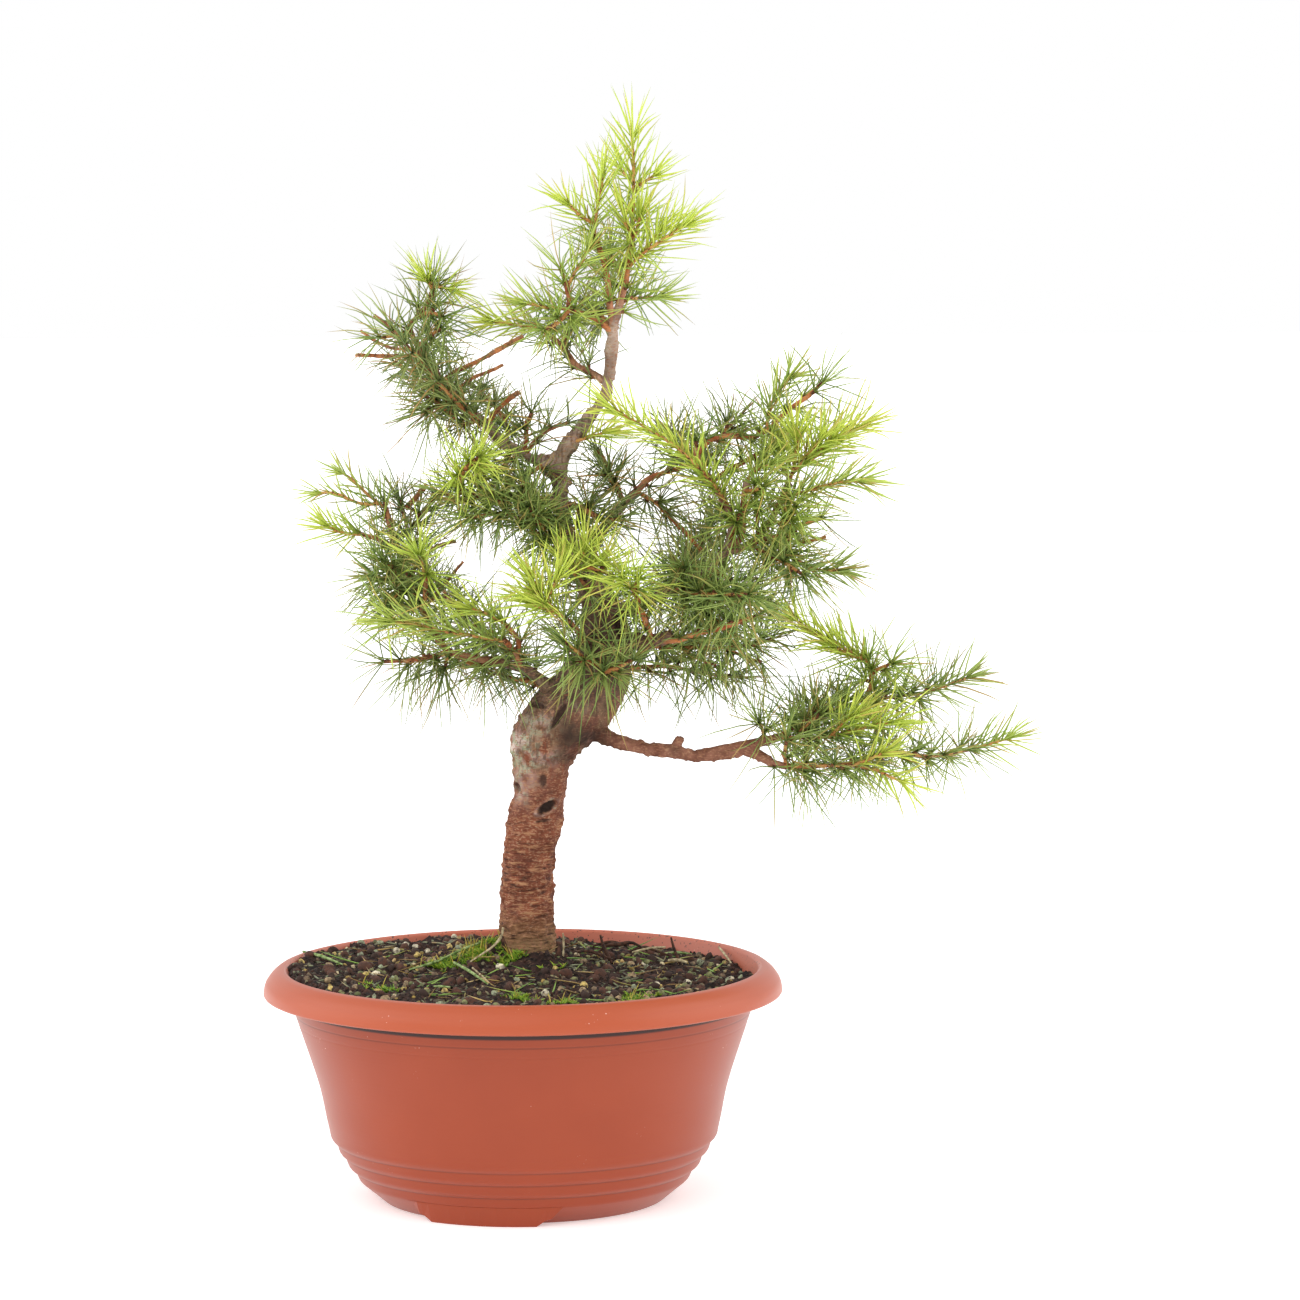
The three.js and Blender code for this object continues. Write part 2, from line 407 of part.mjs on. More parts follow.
function isClear(rod) {
  const free = beyondRoot(rod);
  const clearOf = (other, otherFree) => {
    if (apart(rod, other)) return true;
    if (other.node === rod.node) return gapBetween(free, otherFree) > 0;
    return gapBetween(rod, other) > GAP;
  };
  return woodRods.every((other) => clearOf(other, other))
    && stemRods.every((other) => clearOf(other, other))
    && needleRods.every((other) => clearOf(other, beyondRoot(other)));
}

// ---------------------------------------------------------------- pot and soil

function lathe(outline) {
  const points = outline.map(([radius, height]) => new THREE.Vector2(radius, height));
  return toSolid(new THREE.LatheGeometry(points, ROUND).rotateX(Math.PI / 2));
}

function polar(radius, degrees, height) {
  const angle = THREE.MathUtils.degToRad(degrees);
  return new THREE.Vector3(radius * Math.cos(angle), radius * Math.sin(angle), height);
}

// A foot is one section swept a little way round the pot, wider at the top than on the ground.
function potFoot(direction) {
  const top = Math.max(...FOOT_SECTION.map(([, height]) => height));
  const sections = Array.from({ length: FOOT_PARTS + 1 }, (_, k) => {
    const share = (2 * k) / FOOT_PARTS - 1;
    return FOOT_SECTION.map(([radius, height]) => {
      const halfWidth = FOOT_HALF_WIDTH + (FOOT_SPREAD * height) / top;
      return polar(radius, direction + share * halfWidth, height);
    });
  });
  const middleOf = (points) => points.reduce((sum, point) => sum.add(point), new THREE.Vector3())
    .divideScalar(points.length);
  const [tail, nose] = [middleOf(sections[0]), middleOf(sections.at(-1))];
  return toSolid(geometryOf(skin(sections.map((section) => section.slice().reverse()), tail, nose)));
}

function drainHole(index) {
  const { x, y } = polar(DRAIN_CIRCLE, (360 * index) / DRAIN_COUNT, 0);
  const hole = new THREE.CylinderGeometry(DRAIN_RADIUS, DRAIN_RADIUS, 4 * POT_FLOOR, 8);
  return toSolid(hole.rotateX(Math.PI / 2).translate(x, y, 0));
}

function pot() {
  const outline = [
    [0, 0], [BASE_RADIUS, 0], ...POT_STEPS, ...POT_WALL, ...POT_RIM, ...POT_INSIDE, [0, POT_FLOOR],
  ];
  const feet = FOOT_TURNS.map(potFoot);
  const drains = Array.from({ length: DRAIN_COUNT }, (_, i) => drainHole(i));
  return drains.reduce((body, hole) => body.subtract(hole), joined([lathe(outline), ...feet]));
}

// Radius of the pot's inner wall at a height between its floor and its rim.
function insideRadius(height) {
  const wall = [POT_RIM.at(-1), ...POT_INSIDE];
  const below = wall.findIndex(([, z]) => z <= height);
  const [[r1, z1], [r0, z0]] = [wall[below - 1], wall[below]];
  return THREE.MathUtils.mapLinear(height, z0, z1, r0, r1);
}

function soilHeight(x, y) {
  const fromTrunk = Math.hypot(x - TRUNK_FOOT.x, y - TRUNK_FOOT.y);
  return SOIL_LEVEL + SOIL_HEAP * Math.exp(-((fromTrunk / SOIL_HEAP_WIDTH) ** 2)) - SOIL_FALL * x;
}

// Rings run from the bottom of the trunk's hole up its side, across the surface and down the wall.
function soilRings() {
  const angles = Array.from({ length: ROUND }, (_, j) => (-360 * j) / ROUND);
  const rimOfHole = (degrees, z) => polar(TRUNK_HOLE_RADIUS, degrees, 0).add(TRUNK_FOOT).setZ(z);
  const rings = [angles.map((degrees) => rimOfHole(degrees, TRUNK_FOOT.z - GAP))];
  for (let i = 0; i <= SOIL_RINGS; i += 1) {
    rings.push(angles.map((degrees) => {
      const edge = polar(insideRadius(SOIL_LEVEL) - GAP - 0.1, degrees, 0);
      const point = rimOfHole(degrees, 0).lerp(edge, (i / SOIL_RINGS) ** 0.9);
      point.setZ(soilHeight(point.x, point.y) + jitter(SOIL_ROUGHNESS));
      if (i < SOIL_RINGS) return point;
      return polar(insideRadius(point.z) - GAP - 0.1, degrees, point.z);
    }));
  }
  POT_INSIDE.forEach(([radius, height]) => {
    const level = Math.max(height, POT_FLOOR + GAP);
    rings.push(angles.map((degrees) => polar(radius - GAP - 0.1, degrees, level)));
  });
  return rings;
}

function soil() {
  const grain = (face, k, standing) => {
    const onSurface = k > 0 && k <= SOIL_RINGS;
    if (!standing || !onSurface || random() > GRAIN_SHARE) return [face];
    const [a, b, c] = face;
    const peak = a.clone().add(b).add(c).divideScalar(3);
    peak.z += GRAIN_RISE * (0.6 + 0.4 * random());
    return [[a, b, peak], [b, c, peak], [c, a, peak]];
  };
  const rings = soilRings();
  const holeBottom = TRUNK_FOOT.clone().setZ(rings[0][0].z);
  const base = new THREE.Vector3(0, 0, rings.at(-1)[0].z);
  return toSolid(geometryOf(skin(rings, holeBottom, base, grain)));
}

// ---------------------------------------------------------------- wood

// Ratio that gives a many-sided section the area of the round limb that it stands for.
function fullness(sides) {
  const angle = (2 * Math.PI) / sides;
  return Math.sqrt(angle / Math.sin(angle));
}

function limb([sides, ...knots]) {
  const frames = framesAlong(knots.map(vector));
  const radii = knots.map(([, , , radius]) => radius * fullness(sides));
  const rings = frames.map((frame, i) => ring(frame, radii[i], sides));
  for (let i = 1; i < knots.length; i += 1) {
    const [a, b] = [frames[i - 1].point, frames[i].point];
    woodRods.push(measured({ a, b, ra: radii[i - 1], rb: radii[i], node: 'wood' }));
  }
  const tip = frames.at(-1);
  const radius = radii.at(-1);
  const nose = tip.point.clone().addScaledVector(tip.along, (radius > SAWN_RADIUS ? 0.1 : 0.9) * radius);
  return toSolid(geometryOf(skin(rings, frames[0].point, nose)));
}

function wood() {
  return joined([TRUNK, ...Object.values(LIMBS)].map(limb));
}

// ---------------------------------------------------------------- leafy sprays

function onPath(curve, distance, total) {
  const share = Math.min(1, distance / total);
  return { point: curve.getPointAt(share), along: curve.getTangentAt(share) };
}

// Distance along a shoot at which its round end stands clear of the wood or stem that carries it.
function footOf(curve, total, radius) {
  const carriers = [...woodRods, ...stemRods];
  const isFree = ({ point, along }) => {
    const [frame] = framesAlong([point, point.clone().add(along)]);
    return [point, ...ring(frame, radius, 10)].every((corner) => {
      const spot = { a: corner, b: corner.clone().addScaledVector(along, 0.01), ra: 0, rb: 0 };
      return carriers.every((rod) => gapBetween(spot, rod) > GAP);
    });
  };
  let distance = 0;
  while (distance < total && !isFree(onPath(curve, distance, total))) distance += 0.1;
  return distance;
}

function nearestOn(rods, point) {
  const spots = rods.map(({ a, b }) => (
    new THREE.Line3(a, b).closestPointToPoint(point, true, new THREE.Vector3())));
  return spots.sort((p, q) => p.distanceTo(point) - q.distanceTo(point))[0];
}

// Where the rings of a long shoot's stem lie: a bare foot, then one band for each round of needles.
function longPlaces(foot, total) {
  const start = foot + BARE_FOOT;
  const bands = Math.max(1, Math.round((total - start) / RING_STEP));
  return [foot, ...Array.from({ length: bands + 1 }, (_, i) => start + ((total - start) * i) / bands)];
}

// Where those of a spur shoot lie: two close together at each whorl, and the last whorl at the tip.
function spurPlaces(foot, total) {
  const middles = [];
  for (let at = total - WHORL_HALF; at > foot + WHORL_MARGIN; at -= WHORL_STEP) middles.unshift(at);
  return [foot, ...middles.flatMap((middle) => [middle - WHORL_HALF, middle + WHORL_HALF])];
}

// The frames of one shoot's stem. The first shoot of a spray starts on the wood or on another spray's
// stem, a later one on the first's stem.
function stemOf([kind, , ...knots], node, firstRods) {
  const { radius, tipRadius } = KINDS[kind];
  const points = knots.map(vector);
  if (firstRods) points[0] = nearestOn(firstRods, points[0]);
  const curve = new THREE.CatmullRomCurve3(points);
  const total = curve.getLength();
  const foot = firstRods ? 0 : footOf(curve, total, radius);
  const places = kind === 'long' ? longPlaces(foot, total) : spurPlaces(foot, total);
  const frames = framesAlong(places.map((place) => onPath(curve, place, total).point));
  frames.forEach((frame, i) => {
    frame.radius = THREE.MathUtils.lerp(radius, tipRadius, places[i] / total);
  });
  const rods = frames.slice(1).map((frame, i) => {
    const before = frames[i];
    return measured({ a: before.point, b: frame.point, ra: before.radius, rb: frame.radius, node });
  });
  return { frames, rods };
}

// A needle raised from a face, or the face itself where every draw meets something.
function needle(face, width, draw, node) {
  const [a, b, c] = face;
  const root = a.clone().add(b).add(c).divideScalar(3);
  for (let i = 0; i < TRIES; i += 1) {
    const tip = root.clone().add(draw(root));
    const rod = measured({ a: root, b: tip, ra: width, rb: 0, node });
    if (isClear(rod)) {
      needleRods.push(rod);
      return [[a, b, tip], [b, c, tip], [c, a, tip]];
    }
  }
  return [face];
}

// Degrees between stem and needle for a face of a long shoot's stem, or null where the face is bare.
function longSpread(band, last, standing) {
  if (band === 0 || !standing) return null;
  return band === last ? TUFT_SPREAD : THREE.MathUtils.lerp(SPREAD_LOW, SPREAD_HIGH, band / last);
}

function spurSpread(band, last, standing) {
  if (band === last) return WHORL_END;
  if (band % 2 === 0) return null;
  return standing ? WHORL_BACK : WHORL_FORWARD;
}

function shootSolid(kind, length, frames, node) {
  const { sides, twist, needleRoot } = KINDS[kind];
  const spreadOf = kind === 'long' ? longSpread : spurSpread;
  const turn = THREE.MathUtils.degToRad(twist);
  const rings = frames.map((frame, i) => ring(frame, frame.radius, sides, i * turn));
  const last = frames.length - 1;
  const nose = frames[last].point.clone().addScaledVector(frames[last].along, 1.2);
  const grow = (face, band, standing) => {
    const usual = spreadOf(band, last, standing);
    if (usual === null) return [face];
    const { point, along } = frames[band];
    return needle(face, needleRoot, (root) => {
      const spread = THREE.MathUtils.degToRad(usual + jitter(6));
      const out = root.clone().sub(point);
      out.addScaledVector(along, -out.dot(along)).normalize().applyAxisAngle(along, jitter(0.15));
      return out.multiplyScalar(Math.sin(spread)).addScaledVector(along, Math.cos(spread))
        .multiplyScalar(length * (1 + jitter(0.16)) * (band === last ? 0.85 : 1));
    }, node);
  };
  return toSolid(geometryOf(skin(rings, frames[0].point, nose, grow)));
}

function withStems([name, [tone, ...shoots]]) {
  const stems = [];
  shoots.forEach((shoot) => stems.push(stemOf(shoot, name, stems[0]?.rods)));
  stemRods.push(...stems.flatMap(({ rods }) => rods));
  return { name, tone, shoots, stems };
}

function spray({ name, shoots, stems }) {
  return joined(shoots.map(([kind, length], i) => shootSolid(kind, length, stems[i].frames, name)));
}

// ---------------------------------------------------------------- the whole object

const bonsai = new THREE.Group();
bonsai.add(named('pot', pot(), POT_MATERIAL));
bonsai.add(named('soil', soil(), SOIL_MATERIAL));
bonsai.add(named('wood', wood(), BARK_MATERIAL));
Object.entries(SPRAYS).map(withStems).forEach((planned) => {
  bonsai.add(named(`spray_${planned.name}`, spray(planned), TONES[planned.tone]));
});

export default bonsai;
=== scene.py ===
"""Larch bonsai in a terracotta-coloured plastic bowl pot: its finished look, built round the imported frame.

Metres, +Z up. The origin is the middle of the pot's underside. Tables and sizes are in millimetres.
"""
import math

import bmesh
import bpy
import numpy as np
from mathutils import Matrix, Vector, geometry, noise


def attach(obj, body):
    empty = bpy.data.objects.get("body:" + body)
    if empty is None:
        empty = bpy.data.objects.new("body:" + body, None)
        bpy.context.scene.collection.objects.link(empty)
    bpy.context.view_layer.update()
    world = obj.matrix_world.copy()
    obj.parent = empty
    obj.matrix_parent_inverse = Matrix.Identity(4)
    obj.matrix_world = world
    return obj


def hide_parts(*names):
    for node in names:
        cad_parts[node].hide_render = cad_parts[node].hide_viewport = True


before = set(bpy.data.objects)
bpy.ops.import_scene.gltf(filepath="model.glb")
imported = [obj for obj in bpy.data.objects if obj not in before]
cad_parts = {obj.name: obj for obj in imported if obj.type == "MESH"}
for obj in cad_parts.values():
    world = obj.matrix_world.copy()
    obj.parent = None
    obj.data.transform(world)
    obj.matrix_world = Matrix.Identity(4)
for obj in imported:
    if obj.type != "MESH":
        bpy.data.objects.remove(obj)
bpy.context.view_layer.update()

MM = 0.001
SEED = 1804
SPRAY_SEEDS, SHOOT_SEEDS, NEEDLE_SEEDS = 100, 7, 101  # how far apart the seeds of neighbours are
GOLDEN_TURN = math.radians(137.5)  # from one leaf to the next round a stem
LONG, SPUR, HANGING = "long shoot", "spur shoot", "hanging shoot"
LIME, FRESH, GREEN, DEEP = "lime", "fresh", "green", "deep"

# ---------------------------------------------------------------- the tree's plan

# Knots are (x, y, z, radius), from inside the wood that carries the limb to its tip.
TRUNK = (
    (2, 20, 92, 13), (2, 20, 112, 16), (2, 20, 132, 17.2), (2, 20, 146, 16), (2, 19.5, 162, 15.8),
    (2.3, 19, 182, 15.1), (4, 18.5, 202, 14.9), (7.5, 18, 220, 14.9), (10.1, 17, 235, 15.1),
    (10.6, 16, 249, 16.3), (12.5, 15, 263, 19.5), (25, 14, 277, 21.3), (37, 13, 292, 20),
    (45.5, 12, 308, 18), (48, 11, 326, 14.8), (45.5, 10, 341, 11), (39, 9, 355, 7), (31.5, 9, 370, 5.2),
    (26.5, 9, 387, 4.3), (23.5, 9, 407, 3.9), (24.5, 8, 426, 4.7), (31, 7, 438, 4.9), (40.5, 6, 450, 4.1),
    (48.5, 5, 462, 3.5), (52, 4, 477, 3.2), (53.5, 3, 492, 3.3), (54.5, 3, 507, 2.8),
)
LIMBS = {
    "leader": ((54.5, 3, 504, 2.7), (57.5, 2, 514, 2.2), (60.5, 2, 524, 1.9), (62.5, 1, 533, 1.6),
        (64.5, 1, 545, 1.5), (65.5, 0, 560, 1.4), (66, 0, 575, 1.2)),
    "top_left": ((54, 3, 503, 2.2), (52, 0, 518, 1.8), (51, -2, 531, 1.7), (48.5, -4, 542, 1.6),
        (44, -7, 554, 1.4)),
    "top_right_spur": ((56, 3, 509, 1.7), (59, 7, 516, 1.7), (63, 11, 518, 1.3)),
    "top_back": ((60.5, 2, 523, 1.5), (59, 12, 529, 1.3), (57, 21, 534, 1.1)),
    "top_twig": ((53.5, 3, 499, 1.8), (46, 0, 505.5, 1.5), (38, -4, 509.5, 1.4), (30, -8, 513, 1.5),
        (29, -9, 520, 1.3), (28, -10, 526.5, 1.7), (26, -10, 532.5, 1.1)),
    "crown_left": ((50.5, 5, 470, 2.3), (41, 9, 476, 2), (33, 13, 479.5, 1.9), (29.5, 15, 484, 1.8),
        (25, 17, 490, 1.8), (18, 20, 496.5, 1.7), (12, 22, 501, 1.4)),
    "crown_left_fork": ((25, 17, 490, 1.4), (28, 22, 496, 1.3), (31, 27, 501, 1.1)),
    "upper_left": ((25, 8, 427, 4.2), (13, 11, 425, 3.6), (1, 13, 430, 3.2), (-10, 14, 436, 3),
        (-19, 14, 446, 2.8), (-29, 13, 453, 2.6), (-38, 12, 462, 2.4), (-45, 11, 472, 2.2),
        (-51, 10, 482, 2), (-58, 9, 492, 1.8), (-62, 8, 502, 1.6), (-57, 7, 509, 1.5),
        (-51.5, 6.5, 516, 1.5), (-49, 6, 522, 1.9)),
    "bare_stub_a": ((-19, 14, 446, 1.6), (-13, 11, 454, 1.5), (-7, 8, 460, 1.6), (0, 5, 465, 1.5)),
    "bare_stub_b": ((-44, 11, 471, 1.5), (-36, 8, 477, 1.4), (-29, 6, 480, 1.5), (-21, 4, 484, 1.2),
        (-13, 2, 488.5, 1.5), (-4, 0, 493.5, 1.5), (3, -1, 497, 1.3)),
    "bare_stub_d": ((2, 13, 430, 1.7), (4, 10, 437, 1.3), (4, 9, 445, 1.3), (6, 8, 450, 1.6)),
    "bare_stub_e": ((4, 12, 430, 1.6), (11, 7, 439, 1.3), (18, 5, 444, 1.3), (25, 4, 446.5, 1.1)),
    "bare_stub_f": ((-55, 10, 487, 1.4), (-66, 6, 486, 1.2), (-75, 3, 486, 1.3), (-85, 1, 486.5, 1.1),
        (-93, 0, 487, 1)),
    "bare_stub_g": ((-60, 9, 497, 1.3), (-69, 12, 499, 1.1), (-76, 15, 504, 1.2), (-83, 16, 509, 1)),
    "bare_stub_i": ((-24, 14, 449, 1.5), (-31, 6, 447, 1.2), (-38, 2, 452, 1.1), (-45, -1, 458, 1.1),
        (-51, -3, 462, 1)),
    "middle_left": ((24, 9, 404, 2.8), (14, 6, 403, 2.3), (4, 2, 404.5, 2), (-8, -2, 405, 1.9),
        (-20, -5, 406, 1.7), (-31, -8, 408.5, 1.5)),
    "low_left": ((16, 10, 295, 4.6), (7, 6, 303, 3.3), (-1, 2, 307, 2.7), (-12, -2, 310.5, 2.3),
        (-26, -4, 313, 2.1), (-41, -4, 317, 2), (-49, -2, 327, 1.9), (-56, 2, 341, 1.9), (-63, 6, 358, 1.9),
        (-70, 8, 375, 1.9), (-74.5, 8, 388, 1.9), (-77, 8, 399, 1.6)),
    "low_left_fork": ((-1, 2, 307, 2.2), (-2, -9, 315, 1.8), (-8, -19, 324, 1.6)),
    "fresh_fork": ((-2, -9, 315, 1.7), (-1, -13, 324, 1.5), (-7, -19, 333, 1.3)),
    "hanging_twig": ((-41, -4, 317, 1.6), (-50, -9, 314.8, 1.3), (-61, -13, 313.2, 1.3),
        (-75, -17, 312.8, 1.1)),
    "side_twig": ((-70, 8, 376, 1.6), (-79, 4, 380, 1.4), (-89, 0, 384, 1.2)),
    "rosette_twig": ((-56, 2, 341, 1.6), (-54, -13, 349, 1.4), (-53, -24, 360, 1.2)),
    "bare_stub_l": ((-63, 7, 360, 1.3), (-56, 11, 370, 1.1), (-48, 13, 376, 1.1), (-37, 15, 379, 0.9)),
    "front_left": ((42, 6, 319, 3.4), (38, -9, 323, 2.2), (33, -21, 330, 1.6), (28, -29, 337, 1.3)),
    "front_top": ((41, 5, 349, 2.4), (38, -7, 354, 1.6), (34, -15, 359, 1.3)),
    "inner": ((38, 10, 356, 4), (41, 14, 371, 3.5), (46, 18, 382, 3.2), (52, 21, 391, 2.8),
        (59, 24, 398.5, 2.4), (67, 27, 406, 2), (73, 30, 412, 1.8), (80, 33, 415.5, 1.5),
        (91, 36, 418.5, 1.2)),
    "inner_up": ((60, 24, 399, 1.6), (56, 20, 409, 1.4), (51, 17, 419, 1.4), (46, 14, 429, 1.2)),
    "inner_cross": ((25, 9, 401, 2.1), (34, 5, 399, 1.8), (42, 1, 395, 1.7), (50, -3, 391.5, 1.6),
        (54, -5, 392.5, 1.2)),
    "right": ((49, 11, 334, 5), (62, 6, 340, 4), (78, 4, 347, 3.5), (95, 6, 355, 3), (110, 9, 364, 2.7),
        (119.5, 11, 376, 2.5), (121.5, 10, 389, 2.3), (117.5, 8, 401, 2.1), (110, 5, 413, 1.9),
        (103, 3, 424, 1.8), (101.5, 3, 433, 1.9)),
    "right_upper": ((102, 3, 429, 1.7), (108, 4, 436, 1.5), (116, 6, 438.5, 1.5), (124, 8, 439, 1.7),
        (134, 10, 438.5, 1.4), (142, 11, 442, 1.4), (150, 12, 449.5, 1.3), (158, 13, 456, 1.3),
        (166, 14, 461.5, 1.4), (172, 14, 467, 1.1)),
    "right_knob": ((119.5, 11, 374, 2.1), (127, 4, 381, 1.9), (128, 2, 392, 1.8), (128.5, 0, 404, 1.8),
        (130.5, -2, 414, 2.5)),
    "right_outer": ((118.5, 10, 372, 2.3), (131, 11, 376, 2.1), (141, 8, 386, 2), (147, 6, 396, 2),
        (151, 4, 404, 2.1), (154.5, 2, 412, 2.5)),
    "right_inner": ((110, 5, 413, 1.6), (120, 13, 419, 1.4), (130, 19, 424, 1.4), (140, 23, 429.5, 1.2)),
    "bare_stub_m": ((133, 11, 378, 1.8), (142, 16, 379, 1.5), (150, 20, 381, 1.4), (158, 23, 384.5, 1.3),
        (164, 25, 387, 1.3), (171, 27, 389, 1)),
    "bare_stub_n": ((150, 20, 381, 1.3), (159, 18, 377, 1.1), (168, 17, 378, 1), (176, 16, 380, 0.9)),
    "cut_stub": ((57, 8, 321, 5), (67, 0, 321, 4.2), (77, -6, 322.5, 3.7), (87, -9, 325.5, 3.7)),
    "front_rosette": ((75, -5, 323, 2), (73, -16, 331, 1.6), (70, -25, 341, 1.6), (67, -33, 350, 1.3)),
    "bare_stub_o": ((80, -7, 323, 2.2), (91, -15, 324, 1.6), (101, -21, 328, 1.4), (112, -25, 331, 1.4),
        (122, -29, 334.5, 1.5), (132, -32, 338, 1.2)),
    "low": ((28, 14, 269, 8), (42, 12, 267, 5.6), (51, 10, 264.5, 4.8), (62, 8, 261.3, 4.1),
        (75, 5, 258.9, 3.7), (88, 2, 257.8, 3.5), (101, -1, 255.8, 3.4), (115, -3, 256.8, 3.5),
        (129, -5, 260, 3.6), (138, -5, 264, 2.7), (148, -4, 266.5, 2.4)),
    "low_front": ((126, -5, 260, 3.2), (136, -8, 256.5, 2.8), (144, -11, 252.5, 2.2), (152, -14, 250.8, 2)),
    "low_stub": ((88.5, 2, 258, 2.8), (90, 1.5, 262.5, 2.6), (92, 1.5, 265.5, 2.3)),
}
